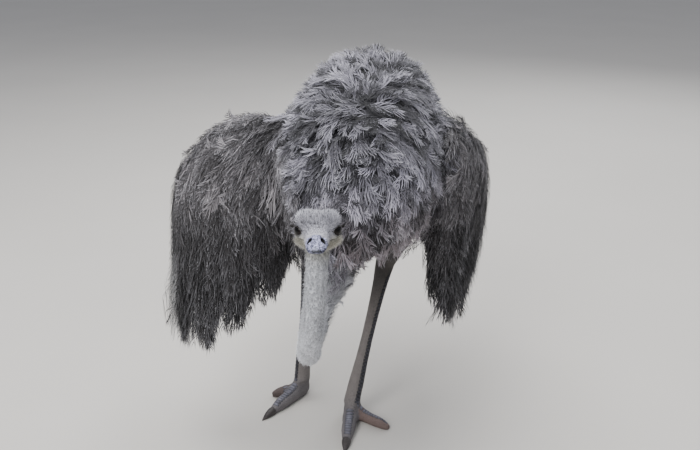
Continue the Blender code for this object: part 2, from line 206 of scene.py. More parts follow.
def remeshed(shape, voxel, rounds):
    """One even closed surface round everything in the shape, then smoothed."""
    piece = put("work", shape)
    remesh = piece.modifiers.new("remesh", "REMESH")
    remesh.mode = "VOXEL"
    remesh.voxel_size = voxel
    graph = bpy.context.evaluated_depsgraph_get()
    mesh = bpy.data.meshes.new_from_object(piece.evaluated_get(graph))
    done = bmesh.new()
    done.from_mesh(mesh)
    rough = piece.data
    bpy.data.objects.remove(piece)
    bpy.data.meshes.remove(rough)
    bpy.data.meshes.remove(mesh)
    soften(done, rounds)
    return done


def cut(shape, point, away, geom=None):
    """Cuts a shape open at a plane and drops what lies past it."""
    geom = geom or [*shape.verts, *shape.edges, *shape.faces]
    return bmesh.ops.bisect_plane(
        shape, geom=geom, plane_co=point, plane_no=away, clear_outer=True
    )


def lift_below(shape, height, share):
    """Draws the low part of a shape up, so that the plumes hang clear below its skin."""
    for vert in shape.verts:
        vert.co.z += share * max(0.0, height - vert.co.z)


def gathered(names, swell=SWELL):
    """The named solids in one shape, each grown so that they join and creases close."""
    whole = bmesh.new()
    for name in names:
        one = node_shape(name)
        if name.startswith("bill_"):
            ends = cut(one, BROW_POINT + AHEAD * (FACE_END + 0.006), AHEAD)["geom_cut"]
            rim = [g for g in ends if isinstance(g, bmesh.types.BMEdge)]
            bmesh.ops.contextual_create(one, geom=rim)
        one.normal_update()
        for vert in one.verts:
            vert.co += vert.normal * swell
        if name.startswith("wing_"):
            lift_below(one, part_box(name)[1].z - 0.22, 0.20)
        if name == "tail":
            lift_below(one, 0.78, 0.30)
        append(whole, one)
    return whole


def read(shape):
    """A shape's points and normals, as arrays."""
    shape.verts.index_update()
    shape.normal_update()
    return coords(shape), np.array([v.normal for v in shape.verts])


def coords(shape):
    return np.array([v.co for v in shape.verts], float).reshape(-1, 3)


def read_all(items, key, width, kind=float):
    """One property of all the items of a mesh, as rows of an array."""
    values = np.zeros(len(items) * width, kind)
    items.foreach_get(key, values)
    return values.reshape(-1, width)


def place_all(shape, points):
    for vert, point in zip(shape.verts, points):
        vert.co = point


def stay_above_floor(verts):
    for vert in verts:
        vert.co.z = max(vert.co.z, 0.0)


# ---- Sizes and colours a user may change ----


def distance(name, text, default):
    return bpy.props.FloatProperty(name=name, description=text, default=default, unit="LENGTH")


def colour(name, text, default):
    limits = {"size": 3, "min": 0.0, "max": 1.0, "subtype": "COLOR"}
    return bpy.props.FloatVectorProperty(name=name, description=text, default=default, **limits)


class OSTRICH_PG_sizes(bpy.types.PropertyGroup):
    body_voxel: distance("Body skin step", "Mesh step of the skin under the plumage", 0.011)
    trunk_depth: distance("Trunk coat depth", "How deep the trunk's skin lies", 0.040)
    wing_depth: distance("Wing coat depth", "How deep the skin of the wings lies", 0.011)
    plume_length: distance("Body plume length", "Length of the plumes on the back", 0.078)
    plume_spacing: distance("Body plume spacing", "Distance between their roots", 0.0155)
    hanging_length: distance("Hanging plume length", "Length of the wings' loose plumes", 0.210)
    neck_down: distance("Neck down length", "Length of the fine down on the neck", 0.012)


class OSTRICH_PG_colours(bpy.types.PropertyGroup):
    back: colour("Back plumes", "Vanes of the back and breast", (0.174, 0.167, 0.198))
    wing: colour("Wing coverts", "Upper plumes of the wings", (0.218, 0.205, 0.215))
    # shade is a painted shade: the wings' hanging plumes and the lower trunk are darkened towards
    # it
    shade: colour("Hanging plumes", "Painted shade of the lower wings and belly", (0.026, 0.024, 0.025))
    # tip is partly the plumes' own pale ends and ribs and partly painted highlight on the crests of
    # their barbs
    tip: colour("Plume tips", "Pale ends and ribs of the plumes, partly painted highlight", (0.620, 0.615, 0.660))
    rust: colour("Breast tint", "Warm tint low on the breast", (0.200, 0.125, 0.085))
    down: colour("Neck down", "Short down of the neck", (0.600, 0.610, 0.640))
    crown: colour("Crown", "Bristles on top of the head", (0.555, 0.550, 0.612))
    cheek: colour("Cheek", "Skin and down below the eye", (0.430, 0.410, 0.300))
    leg: colour("Leg skin", "Bare skin of the legs", (0.225, 0.204, 0.194))
    scute: colour("Scutes", "Horn plates of the shins and toes", (0.165, 0.163, 0.200))
    bill: colour("Bill", "Horn of the bill", (0.255, 0.260, 0.375))
    claw: colour("Claws", "Horn of the claws", (0.040, 0.034, 0.033))
    iris: colour("Iris", "Ring of the eye round the pupil", (0.007, 0.0045, 0.004))
    floor: colour("Floor", "Plain floor under the bird", (0.560, 0.535, 0.500))


EYE_WHITE = np.array((0.05, 0.045, 0.042))
LASH = np.array((0.012, 0.010, 0.010))
BILL_TIP = np.array((0.20, 0.21, 0.18))
OUTER_TOES = {"left": np.array((0.20, 0.115, 0.085)), "right": np.array((0.085, 0.055, 0.046))}


def sizes():
    return bpy.context.scene.ostrich_sizes


def rgb(name):
    return np.array(getattr(bpy.context.scene.ostrich_colours, name), float)


# ---- Materials ----


def join(tree, made, **inputs):
    """Sets a node's inputs to values, or links them to other nodes' outputs."""
    for key, value in inputs.items():
        socket = made.inputs[key.replace("_", " ")]
        if isinstance(value, bpy.types.NodeSocket):
            tree.links.new(value, socket)
        else:
            socket.default_value = value


def node(tree, kind, output, **inputs):
    """The named output of a new node."""
    made = tree.nodes.new("ShaderNode" + kind)
    join(tree, made, **inputs)
    return made.outputs[output]


def attribute(tree, name, output):
    made = tree.nodes.new("ShaderNodeAttribute")
    made.attribute_name = name
    return made.outputs[output]


def grain(tree, place, scale, detail, roughness=0.5):
    look = {"Scale": scale, "Detail": detail, "Roughness": roughness}
    return node(tree, "TexNoise", "Fac", Vector=place, **look)


def span(tree, value, low, high, **more):
    """A number from 0 to 1 stretched over a range."""
    return node(tree, "MapRange", "Result", Value=value, To_Min=low, To_Max=high, **more)


def bump(tree, height, strength, reach):
    return node(tree, "Bump", "Normal", Height=height, Strength=strength, Distance=reach)


def scaled(tree, tone, share):
    """A colour times a number."""
    made = tree.nodes.new("ShaderNodeVectorMath")
    made.operation = "SCALE"
    tree.links.new(tone, made.inputs[0])
    tree.links.new(share, made.inputs["Scale"])
    return made.outputs["Vector"]


def varied_tint(tree, place, scale, low, high):
    """The painted colour of the surface, made uneven by noise on object coordinates."""
    patches = span(tree, grain(tree, place, scale, 4.0, 0.6), low, high)
    return scaled(tree, attribute(tree, "tint", "Color"), patches)


def new_material(name):
    """A material, its nodes, its shader and the object coordinates."""
    material = bpy.data.materials.new(name)
    material.use_nodes = True
    tree = material.node_tree
    return material, tree, tree.nodes["Principled BSDF"], node(tree, "TexCoord", "Object")


def painted(name, patches, fine, rough, bumps, stretch=None, **look):
    """A painted surface: uneven tint, with one fine noise in its roughness and its bumps.

    patches is the scale and range of the unevenness, fine the noise's scale, detail and
    roughness, and look what else the shader is told.
    """
    material, tree, shader, place = new_material(name)
    tint = varied_tint(tree, place, *patches)
    if stretch:
        place = node(tree, "Mapping", "Vector", Vector=place, Scale=stretch)
    grains = grain(tree, place, *fine)
    rough, bumps = span(tree, grains, *rough), bump(tree, grains, *bumps)
    join(tree, shader, Base_Color=tint, Roughness=rough, Normal=bumps, **look)
    return material


def plume_material(name, roughness, sheen):
    """Soft vanes with a faint grain."""
    rough = (roughness - 0.1, roughness + 0.1)
    look = {"Specular_IOR_Level": 0.25, "Sheen_Weight": sheen, "Sheen_Roughness": 0.5}
    return painted(name, (46.0, 0.72, 1.28), (700.0, 2.0), rough, (0.25, 0.0006), **look)


def horn_material(name, rough, scale, stretch, gloss=0.4):
    """Horn with growth streaks along its length and small scuffs."""
    patches, streaks = (90.0, 0.75, 1.25), (scale, 5.0, 0.65)
    look = {"stretch": stretch, "Specular_IOR_Level": gloss}
    return painted(name, patches, streaks, rough, (0.4, 0.0005), **look)


def skin_material():
    """Painted skin: speckled on the neck, scaled on the legs, finely creased elsewhere."""
    material, tree, shader, place = new_material("ostrich_skin")
    speck = grain(tree, place, 420.0, 3.0, 0.7)
    dots = span(tree, speck, 0.55, 1.1, From_Min=0.36, From_Max=0.56)
    cells = tree.nodes.new("ShaderNodeTexVoronoi")
    cells.feature = "DISTANCE_TO_EDGE"
    join(tree, cells, Vector=place, Scale=210.0, Randomness=0.85)
    edge = cells.outputs["Distance"]
    rims = span(tree, edge, 0.0, 1.0, From_Max=0.12)
    seams = span(tree, edge, 0.45, 1.0, From_Max=0.06)
    scaly = attribute(tree, "scaly", "Fac")
    shade = node(tree, "Mix", "Result", Factor=scaly, A=dots, B=seams)
    height = node(tree, "Mix", "Result", Factor=scaly, A=speck, B=rims)
    join(
        tree,
        shader,
        Base_Color=scaled(tree, varied_tint(tree, place, 30.0, 0.70, 1.30), shade),
        Roughness=span(tree, speck, 0.62, 0.88),
        Normal=bump(tree, height, 0.55, 0.0011),
        Specular_IOR_Level=0.3,
    )
    return material


def eye_material():
    """The eyeball under its wet clear front."""
    material, tree, shader, place = new_material("eyeball")
    tint = varied_tint(tree, place, 900.0, 0.6, 1.4)
    join(tree, shader, Base_Color=tint, Roughness=0.06, IOR=1.36, Specular_IOR_Level=0.38)
    return material


def paint(piece, values, name="tint"):
    """Gives each point of a piece its own colour, or its own number."""
    mesh = piece.data
    values = np.asarray(values, np.float32)
    if values.ndim == 1:
        layer = mesh.attributes.new(name, "FLOAT", "POINT")
        layer.data.foreach_set("value", values)
        return
    layer = mesh.attributes.new(name, "FLOAT_COLOR", "POINT")
    rgba = np.ones((len(values), 4), np.float32)
    rgba[:, :3] = np.clip(values, 0.0, 1.0)
    layer.data.foreach_set("color", rgba.ravel())


# ---- Regions, lie, markings and painted shade ----


def nearest_nodes(points):
    """The index in FLESH of the solid nearest to each point."""
    if "finder" not in store:
        whole = bmesh.new()
        owner = []
        for i, name in enumerate(FLESH):
            before = len(whole.faces)
            append(whole, node_shape(name))
            owner += [i] * (len(whole.faces) - before)
        store["finder"] = BVHTree.FromBMesh(whole)
        store["owner"] = owner
        whole.free()
    found = [store["finder"].find_nearest(Vector(p))[2] for p in points]
    return np.array([store["owner"][i] for i in found])


def among(owners, *starts):
    """1 where the nearest solid's name starts with one of the words, and 0 elsewhere."""
    return np.array([name.startswith(starts) for name in FLESH], float)[owners]


def head_parts(points):
    """How far points are from the head's middle, how far ahead of the eyes and how high."""
    local = (points - np.array(BROW_POINT)) @ np.array([ACROSS, AHEAD, CROWNWARD]).T
    return np.abs(local[:, 0]), local[:, 1], local[:, 2]


def gape_line(along):
    """How high the mouth's line runs, at a place along the head."""
    return -0.0130 + 0.055 * (along - 0.050)


def face_edge(across):
    """How far along the bill the face's skin reaches, at a distance from its middle."""
    return FACE_END - 0.45 * np.maximum(across - 0.007, 0.0)


def shoulder(points):
    """How far places on the trunk belong to the look of the wing beside them."""
    x, y, z = points.T
    right = ease(-0.045, -0.095, x) * ease(1.04, 0.98, z)
    left = ease(0.285, 0.320, x) * ease(1.02, 0.96, z)
    return np.maximum(right, left) * ease(0.30, 0.20, y) * ease(0.66, 0.74, z)


def coat_colour(points, owners):
    """The markings of the bird, with painted shade low on the wings, trunk and legs, for its skin
    and its coat alike.
    """
    result = np.tile(rgb("back"), (len(points), 1))
    x, y, z = points.T
    _, along, up = head_parts(points)
    trunk, wing, head = (among(owners, name) for name in ("trunk", "wing_", "head"))

    def lay(share, tone):
        result[:] = result + (tone - result) * share[:, None]

    warm = ease(0.98, 0.80, z) * ease(0.10, -0.20, y) * ease(-0.02, 0.06, x)
    lay(warm * ease(0.68, 0.74, z) * 0.28, rgb("rust"))
    lay(np.maximum(wing, trunk * shoulder(points)), rgb("wing"))
    # Painted shade: the wings darken down their hanging plumes, which hang in the shade below the
    # body
    lay(wing * ease(0.92, 0.68, z) * 0.92, rgb("shade"))
    lay(among(owners, "tail") * 0.6, rgb("wing"))
    # Painted shade: the trunk darkens below its middle, under the body
    lay(trunk * ease(0.78, 0.66, z) * 0.5, rgb("shade"))
    lay(among(owners, "neck_root") * ease(0.80, 0.62, z) * 0.75, rgb("down"))
    lay(among(owners, *NECK[1:]), rgb("down"))
    lay(head, rgb("crown"))
    low_face = ease(0.004, -0.020, up) * ease(-0.09, -0.02, along)
    near_head = np.maximum(head, among(owners, "neck_upper") * ease(-0.10, -0.03, up))
    lay(near_head * low_face * 0.8, rgb("cheek"))
    result *= (1.0 - head * 0.30 * ease(0.028, 0.058, along))[:, None]
    bare = among(owners, "thigh_", *LEG_NODES)
    lay(bare, rgb("leg"))
    # The bare legs are a little darker throughout, and painted shade darkens them further up the
    # shank, under the body
    result *= (1.0 - bare * (0.15 + 0.55 * ease(0.28, 0.50, z)))[:, None]
    lay(bare * 0.40 * ease(0.095, 0.035, z), rgb("scute") * 0.6)
    outer = among(owners, "toe_outer")
    lay(outer * (x > 0.0) * 0.5, OUTER_TOES["left"])
    lay(outer * (x <= 0.0) * 0.7, OUTER_TOES["right"])
    return result


# ---- The skin ----

# How deep the skin lies under the solids of each kind, where the user doesn't set it
COAT_DEPTHS = (
    ("tail", 0.010),
    ("neck_root", 0.016),
    ("neck_lower", 0.006),
    ("neck_middle", 0.0035),
    ("neck_upper", 0.0035),
    ("head", 0.002),
    ("thigh_", 0.006),
)
BARE_DEPTH = 0.0010
GRAFT_GAP = 0.0015  # half the width of the band between two stretches of skin

# Voxel and rounds of smoothing for each stretch of skin, and how far a graft's cut reaches
BODY_ROUNDS = 5
NECK_SKIN = (0.0042, 4, 0.085)
HEAD_SKIN = (0.0016, 5, 0.075)
LEG_SKIN = (0.0038, 4, 0.062)
ANKLES = (0.034, 0.105)  # the heights between which the toes' roots are smoothed
THROAT_CUT = 0.105  # how far below the top of the neck the head's skin ends

# Forms of the head: how far they stand out, their height and its spread, their place along the
# head and its spread, and the distances from the middle where they start and are full
HEAD_FORMS = (
    (0.0060, 0.0215, 0.0070, 0.004, 0.024, 0.018, 0.034),  # brow
    (0.0055, -0.020, 0.011, 0.008, 0.025, 0.016, 0.032),  # cheek
    (-0.0030, 0.002, 0.012, 0.036, 0.012, 0.018, 0.030),  # hollow before the eye
)
LID_HALF = (0.0158, 0.0091)  # half the width and height of the opening between the lids
NOSTRIL = (0.0155, 0.102)  # the nostrils' distance from the middle and place along the head


def graft(body, limb, point, outward, reach):
    """Joins a finely meshed limb to the body at a cut, with a narrow band between."""
    place = point - outward * GRAFT_GAP
    near = [f for f in body.faces if (f.calc_center_median() - place).length < reach]
    geom = dict.fromkeys(near)
    for face in near:
        geom.update(dict.fromkeys([*face.edges, *face.verts]))
    cut(body, place, outward, list(geom))
    cut(limb, point + outward * GRAFT_GAP, -outward)
    append(body, limb)
    rims = []
    for edge in body.edges:
        middle = (edge.verts[0].co + edge.verts[1].co) / 2.0
        if edge.is_boundary and (middle - point).length < reach:
            rims.append(edge)
    bmesh.ops.bridge_loops(body, edges=rims)


def skin_depths(owners):
    """How far the skin lies under the solid's surface, which is the coat's."""
    chosen = sizes()
    depth = np.full(len(owners), BARE_DEPTH)
    set_by_user = (("trunk", chosen.trunk_depth), ("wing_", chosen.wing_depth))
    for start, deep in COAT_DEPTHS + set_by_user:
        depth[among(owners, start) > 0] = deep
    return depth


def spread(values, shape, rounds):
    """Averages numbers over neighbouring points."""
    ends = np.array([[v.index for v in e.verts] for e in shape.edges])
    count = np.bincount(ends.ravel(), minlength=len(values)).astype(float)
    for _ in range(rounds):
        total = np.bincount(ends[:, 0], values[ends[:, 1]], len(values))
        total += np.bincount(ends[:, 1], values[ends[:, 0]], len(values))
        values = 0.5 * values + 0.5 * total / np.maximum(count, 1.0)
    return values


def sink(shape, rounds):
    """Moves a shape's surface in by the depth of the coat over it."""
    points, normals = read(shape)
    depth = spread(skin_depths(nearest_nodes(points)), shape, rounds) + SWELL
    place_all(shape, points - normals * depth[:, None])


def neck_cut(low_node, high_node):
    """The middle of the joint between two lengths of neck, and the way towards the head."""
    finder = BVHTree.FromBMesh(node_shape(low_node))
    near = [v for v in node_points(high_node) if finder.find_nearest(v)[3] < 0.0012]
    middle = mean_point(near)
    beyond = [v for v in node_points(high_node) if 0.02 < (v - middle).length < 0.07]
    behind = [v for v in node_points(low_node) if 0.02 < (v - middle).length < 0.07]
    return middle, (mean_point(beyond) - mean_point(behind)).normalized()


def leg_cut(side):
    """A point above the hock, and the way down the shank."""
    low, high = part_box("shank_" + side)
    points = node_points("shank_" + side)
    above = mean_point([v for v in points if v.z > high.z - 0.03])
    below = mean_point([v for v in points if v.z < low.z + 0.03])
    return above.lerp(below, 0.70), (below - above).normalized()


def open_lids(points):
    """Lays the skin round each eye on the eyeball, and sinks it behind the lids' opening."""
    for side, eye in EYES.items():
        out, along, up = (np.array(v) for v in eye_axes(side))
        away = points - np.array(eye)
        far = np.linalg.norm(away, axis=1)
        wide, high = LID_HALF
        lid = np.sqrt(((away @ along) / wide) ** 2 + ((away @ up) / high) ** 2)
        near = (away @ out > 0.0) * (far < 0.034) * (lid < 2.2)
        inner = EYE_RADIUS * 0.78
        roll = EYE_RADIUS + LID_STAND
        wanted = inner + (roll - inner) * ease(0.97, 1.14, lid)
        hold = 1.0 - ease(1.20, 1.9, lid)
        radius = np.where(near, far + (wanted - far) * hold, far)
        points = np.array(eye) + away * (radius / np.maximum(far, 1e-6))[:, None]
    return points


def sculpt_head(shape):
    """Brow, lids, gape, ear opening and the edge of the face on the bill."""
    points, normals = read(shape)
    a, l, u = head_parts(points)
    move = np.zeros(len(points))
    for push, at_height, tall, at_length, long, start, full in HEAD_FORMS:
        move += push * (bell(u, at_height, tall) * bell(l, at_length, long)) * ease(start, full, a)
    past_edge = l - face_edge(a)
    move += 0.0030 * ease(0.044, 0.056, l) * ease(0.004, -0.006, past_edge)
    move -= 0.0040 * ease(-0.001, 0.002, past_edge)
    move -= 0.0060 * bell(a, NOSTRIL[0], 0.0090) * bell(l, NOSTRIL[1], 0.0150)
    flat_top = ease(0.020, 0.032, u) * ease(0.050, 0.030, np.abs(l + 0.004))
    move += flat_top * 0.0030 * ease(0.014, 0.032, a)
    line = gape_line(l)
    gape = bell(u, line, 0.0012) * ease(-0.008, 0.004, l)
    lips = bell(u, line, 0.0042) * ease(-0.010, 0.004, l)
    move += (0.0012 * lips - 0.0038 * gape) * ease(0.010, 0.020, a)
    ear = ((l + 0.031) / 0.0042) ** 2 + ((u + 0.006) / 0.0052) ** 2
    move -= 0.0045 * np.exp(-ear)
    move += 0.0015 * np.exp(-((np.sqrt(ear) - 1.9) ** 2) * 3.0)
    move *= l > -0.060
    place_all(shape, open_lids(points + normals * move[:, None]))


def build_skin():
    body = remeshed(gathered(BODY_NODES + ("neck_middle",)), sizes().body_voxel, BODY_ROUNDS)
    sink(body, 12)
    soften(body, 2)
    voxel, rounds, reach = NECK_SKIN
    neck = remeshed(gathered(NECK), voxel, rounds)
    sink(neck, 20)
    graft(body, neck, *neck_cut("neck_root", "neck_lower"), reach)
    voxel, rounds, reach = HEAD_SKIN
    head = remeshed(gathered(HEAD_NODES), voxel, rounds)
    sink(head, 10)
    sculpt_head(head)
    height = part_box("neck_upper")[1].z - THROAT_CUT
    throat = mean_point([v for v in node_points("neck_upper") if abs(v.z - height) < 0.02])
    throat.z = height
    graft(body, head, throat, UP, reach)
    voxel, rounds, reach = LEG_SKIN
    for side in SIDES:
        leg = remeshed(gathered([name + side for name in LEG_NODES]), voxel, rounds)
        sink(leg, 4)
        soften(leg, 24, [v for v in leg.verts if ANKLES[0] < v.co.z < ANKLES[1]])
        graft(body, leg, *leg_cut(side), reach)
    bmesh.ops.recalc_face_normals(body, faces=body.faces)
    stay_above_floor(body.verts)
    return put("skin", body)


def unwrap(piece):
    """Flattens the skin's own shape on the map OFBake."""
    bpy.ops.object.select_all(action="DESELECT")
    piece.data.uv_layers.new(name="OFBake")
    piece.select_set(True)
    bpy.context.view_layer.objects.active = piece
    bpy.ops.object.mode_set(mode="EDIT")
    bpy.ops.mesh.select_all(action="SELECT")
    bpy.ops.uv.smart_project(angle_limit=math.radians(66.0), island_margin=0.002)
    bpy.ops.object.mode_set(mode="OBJECT")
    piece.select_set(False)


def read_skin(piece):
    """Keeps the skin's triangles, normals, map and regions for the coat."""
    mesh = piece.data
    mesh.calc_loop_triangles()
    loops = read_all(mesh.loop_triangles, "loops", 3, np.int32)
    tris = read_all(mesh.loop_triangles, "vertices", 3, np.int32)
    points = read_all(mesh.vertices, "co", 3)
    owners = nearest_nodes(points)
    store.update(
        tris=tris,
        points=points,
        normals=read_all(mesh.vertices, "normal", 3),
        tri_uv=read_all(mesh.uv_layers["OFBake"].uv, "vector", 2)[loops],
        owners=owners,
        tri_owner=owners[tris[:, 0]],
        skin_finder=BVHTree.FromPolygons(points.tolist(), tris.tolist()),
    )


class OSTRICH_OT_skin(bpy.types.Operator):
    """Makes one skin for all the flesh, sunk under the coat, with brows, lids and gape"""

    bl_idname = "ostrich.skin"
    bl_label = "Skin"

    def execute(self, context):
        skin = build_skin()
        unwrap(skin)
        read_skin(skin)
        points, owners = store["points"], store["owners"]
        tint = coat_colour(points, owners)
        # Painted shade: the skin under the plumage of the trunk, tail and wings is darkened, so
        # that the gaps between the plumes look dark
        tint[among(owners, "trunk", "tail", "wing_") > 0] *= 0.25
        a, l, u = head_parts(points)
        gape = bell(u, gape_line(l), 0.0014) * ease(-0.008, 0.004, l)
        tint *= (1.0 - 0.75 * gape * among(owners, "head") * (a > 0.015))[:, None]
        # The skin round each eye is darkened: partly the lids' own dark skin, partly painted shade
        # round the eye
        for eye in EYES.values():
            far = np.linalg.norm(points - np.array(eye), axis=1)
            tint *= (1.0 - 0.80 * ease(EYE_RADIUS + 0.0050, EYE_RADIUS + 0.0030, far))[:, None]
        paint(skin, tint)
        paint(skin, among(owners, *LEG_NODES), "scaly")
        dress(skin, skin_material(), "leg_skin", FLESH)
        return {"FINISHED"}


# ---- Eyes, bill, claws and scutes ----

IRIS_EDGE = (33.0, 38.0)  # degrees from the eye's front at which the iris gives way to white
PUPIL_EDGE = (22.0, 19.0)
CLAW_STREAKS = (90.0, 90.0, 400.0)
BILL_VOXEL = 0.0011
CLAW_VOXEL = 0.0016


def eyeball(side):
    """An eyeball with a domed clear front, dark iris and pupil."""
    shape = bmesh.new()
    bmesh.ops.create_uvsphere(shape, u_segments=48, v_segments=32, radius=EYE_RADIUS)
    fronts = []
    for vert in shape.verts:
        front = math.degrees(math.acos(max(-1.0, min(1.0, vert.co.z / EYE_RADIUS))))
        dome = max(0.0, 1.0 - (front / 34.0) ** 2)
        vert.co *= 0.985 + 0.045 * dome
        fronts.append(front)
    turn = UP.rotation_difference(eye_axes(side)[0]).to_matrix().to_4x4()
    bmesh.ops.transform(shape, matrix=Matrix.Translation(EYES[side]) @ turn, verts=shape.verts)
    eye = put("eyeball_" + side, shape)
    front = np.array(fronts)[:, None]
    white = ease(*IRIS_EDGE, front)
    pupil = ease(*PUPIL_EDGE, front)
    tint = rgb("iris") * (0.7 + 0.3 * ease(15.0, 28.0, front))
    tint = tint * (1.0 - white) + EYE_WHITE * white
    tint = tint * (1.0 - pupil) + 0.002 * pupil
    paint(eye, tint)
    return eye


class OSTRICH_OT_eyes(bpy.types.Operator):
    """Makes the two eyeballs"""

    bl_idname = "ostrich.eyes"
    bl_label = "Eyes"

    def execute(self, context):
        wet = eye_material()
        for side in SIDES:
            dress(eyeball(side), wet, "eye", ("eye_" + side,))
        return {"FINISHED"}


def bill_forms(points, normals, upper):
    """How far the bill's surface stands out at each point, and how far its nostril pits are painted
    dark, as painted shade of their depth.
    """
    a, l, _ = head_parts(points)
    rise = normals @ np.array(CROWNWARD)
    outer = ease(0.1, 0.5, rise * (1 if upper else -1))
    move = np.zeros(len(points)) - 0.0048 * ease(0.080, 0.066, l)
    if not upper:
        trough = bell(a, 0.0, 0.004) * ease(0.05, 0.08, l)
        return move - outer * 0.0008 * trough, np.zeros(len(points))
    ridge = 0.0100 - 0.030 * np.maximum(l - 0.060, 0.0)
    move += outer * 0.0016 * np.exp(-((a / ridge) ** 4))
    groove = bell(a - ridge, 0.0022, 0.0013) * ease(0.055, 0.065, l)
    move -= outer * 0.0011 * groove * ease(0.132, 0.118, l)
    nail = np.sqrt((a / 0.0115) ** 2 + ((l - 0.150) / 0.021) ** 2)
    move += outer * 0.0010 * ease(1.05, 0.85, nail)
    move -= outer * 0.0009 * bell(nail, 1.10, 0.10)
    ahead = l - NOSTRIL[1]
    slot = ((a - NOSTRIL[0] - 0.10 * ahead) / 0.0052) ** 2 + (ahead / 0.0105) ** 2
    pit = np.exp(-(slot**2) * 0.8)
    sides = ease(-0.65, -0.35, rise)
    move -= sides * 0.0075 * pit
    move += sides * 0.0010 * np.exp(-((np.sqrt(slot) - 1.7) ** 2) * 5.0)
    return move, sides * ease(0.12, 0.34, pit)


def bill_half(name):
    """One half of the bill, with its ridge, nail, grooves and nostrils."""
    shape = remeshed(node_shape(name), BILL_VOXEL, 2)
    points, normals = read(shape)
    move, dark = bill_forms(points, normals, name == "bill_upper")
    place_all(shape, points + normals * move[:, None])
    bill = put(name.replace("bill_", "bill_horn_"), shape)
    _, l, u = head_parts(points)
    tint = np.tile(rgb("bill"), (len(points), 1))
    mottle = 0.5 * grainy(points, 160.0) + grainy(points, 380.0, 3.0)
    tint *= np.clip(0.85 + 1.5 * mottle, 0.25, 1.7)[:, None]
    tip = ease(0.136, 0.150, l)[:, None]
    tint = tint * (1.0 - 0.4 * tip) + BILL_TIP * 0.4 * tip
    # The nostril pits are painted black, a painted shade of their depth; the mouth's line is
    # darkened too
    tint *= ((1.0 - 0.55 * bell(u, gape_line(l), 0.0018)) * (1.0 - 0.995 * dark))[:, None]
    # Painted shade: the lower half of the bill, which faces down, is painted darker than the upper
    paint(bill, tint * (0.62 if name == "bill_lower" else 1.0))
    return bill


class OSTRICH_OT_bill(bpy.types.Operator):
    """Makes both halves of the bill"""

    bl_idname = "ostrich.bill"
    bl_label = "Bill"

    def execute(self, context):
        horn = horn_material("bill_horn", (0.42, 0.66), 160.0, (1.0, 0.35, 1.0), gloss=0.08)
        for name in ("bill_upper", "bill_lower"):
            dress(bill_half(name), horn, "bill", (name,))
        return {"FINISHED"}


class OSTRICH_OT_claws(bpy.types.Operator):
    """Makes the claws of the two main toes"""

    bl_idname = "ostrich.claws"
    bl_label = "Claws"

    def execute(self, context):
        horn = horn_material("claw_horn", (0.35, 0.60), 120.0, (1.0, 1.0, 3.0))
        for side in SIDES:
            shape = remeshed(gathered(("claw_" + side,), 0.0002), CLAW_VOXEL, 3)
            stay_above_floor(shape.verts)
            claw = put("claw_horn_" + side, shape)
            points = read_all(claw.data.vertices, "co", 3)
            streak = grainy(points * CLAW_STREAKS, 1.0)[:, None]
            paint(claw, rgb("claw") * (1.0 + 0.5 * streak))
            dress(claw, horn, "claw", ("claw_" + side,))
        return {"FINISHED"}


PLATE_DEPTH = 0.0035  # how far a scute's sides reach down into the skin
SHIN_FROM = (0.055, 0.085)  # the heights over which the toes' scutes turn to the shin's darker


def plate(shape, finder, centre, along, across, out, length, width, rise):
    """One scute: a small grid laid on the skin, domed and closed below."""
    border = shape.verts.layers.float.get("border") or shape.verts.layers.float.new("border")
    verts = bmesh.ops.create_grid(shape, x_segments=4, y_segments=4, size=0.5)["verts"]
    for vert in verts:
        s, w = vert.co.x * 2.0, vert.co.y * 2.0
        trim = 1.0 - 0.25 * w * w
        spot = centre + along * (s * 0.5 * length * trim) + across * (w * 0.5 * width)
        hit = finder.ray_cast(spot + out * 0.03, -out, 0.06)[0] or spot
        edge = max(abs(s), abs(w))
        vert[border] = edge**2
        vert.co = hit + out * (rise * (1.0 - 0.9 * edge**4))
    faces = list(dict.fromkeys(f for v in verts for f in v.link_faces))
    skirt = bmesh.ops.extrude_face_region(shape, geom=faces)
    low = [g for g in skirt["geom"] if isinstance(g, bmesh.types.BMVert)]
    bmesh.ops.translate(shape, vec=-out * PLATE_DEPTH, verts=low)
    stay_above_floor(list(verts) + low)


def scute_row(shape, finder, path, out, width, change, pitch, rise):
    """A row of scutes down a line of points, whose width changes by a length on the way."""
    lengths = [0.0]
    for one, two in zip(path, path[1:]):
        lengths.append(lengths[-1] + (two - one).length)
    count = max(int(lengths[-1] / pitch), 2)
    for k in range(count):
        want = lengths[-1] * (k + 0.5) / count
        i = max(j for j in range(len(lengths) - 1) if lengths[j] <= want)
        f = (want - lengths[i]) / (lengths[i + 1] - lengths[i])
        centre = path[i].lerp(path[i + 1], f)
        along = (path[i + 1] - path[i]).normalized()
        face = (out - along * out.dot(along)).normalized()
        across = along.cross(face).normalized()
        wide = width + change * (want / lengths[-1])
        plate(shape, finder, centre, along, across, face, pitch * 1.04, wide, rise)


def middle_line(name, steps, axis):
    """Points along the middle of a solid, from its slices across an axis."""
    verts = node_points(name)
    span_at = [v.dot(axis) for v in verts]
    low, high = min(span_at), max(span_at)
    line = []
    for k in range(steps):
        want = low + (high - low) * (0.06 + 0.88 * k / (steps - 1))
        near = [v for v, s in zip(verts, span_at) if abs(s - want) < (high - low) * 0.09]
        if near:
            ends = [Vector([pick(v[i] for v in near) for i in range(3)]) for pick in (min, max)]
            line.append((ends[0] + ends[1]) / 2.0)
    return line


def level(vector):
    """A vector's direction over the floor."""
    return Vector((vector.x, vector.y, 0.0)).normalized()


def toe_heading(side):
    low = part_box("tarsus_" + side)[0]
    heel = mean_point([v for v in node_points("tarsus_" + side) if v.z < low.z + 0.03])
    return level(centre_of("claw_" + side) - heel)


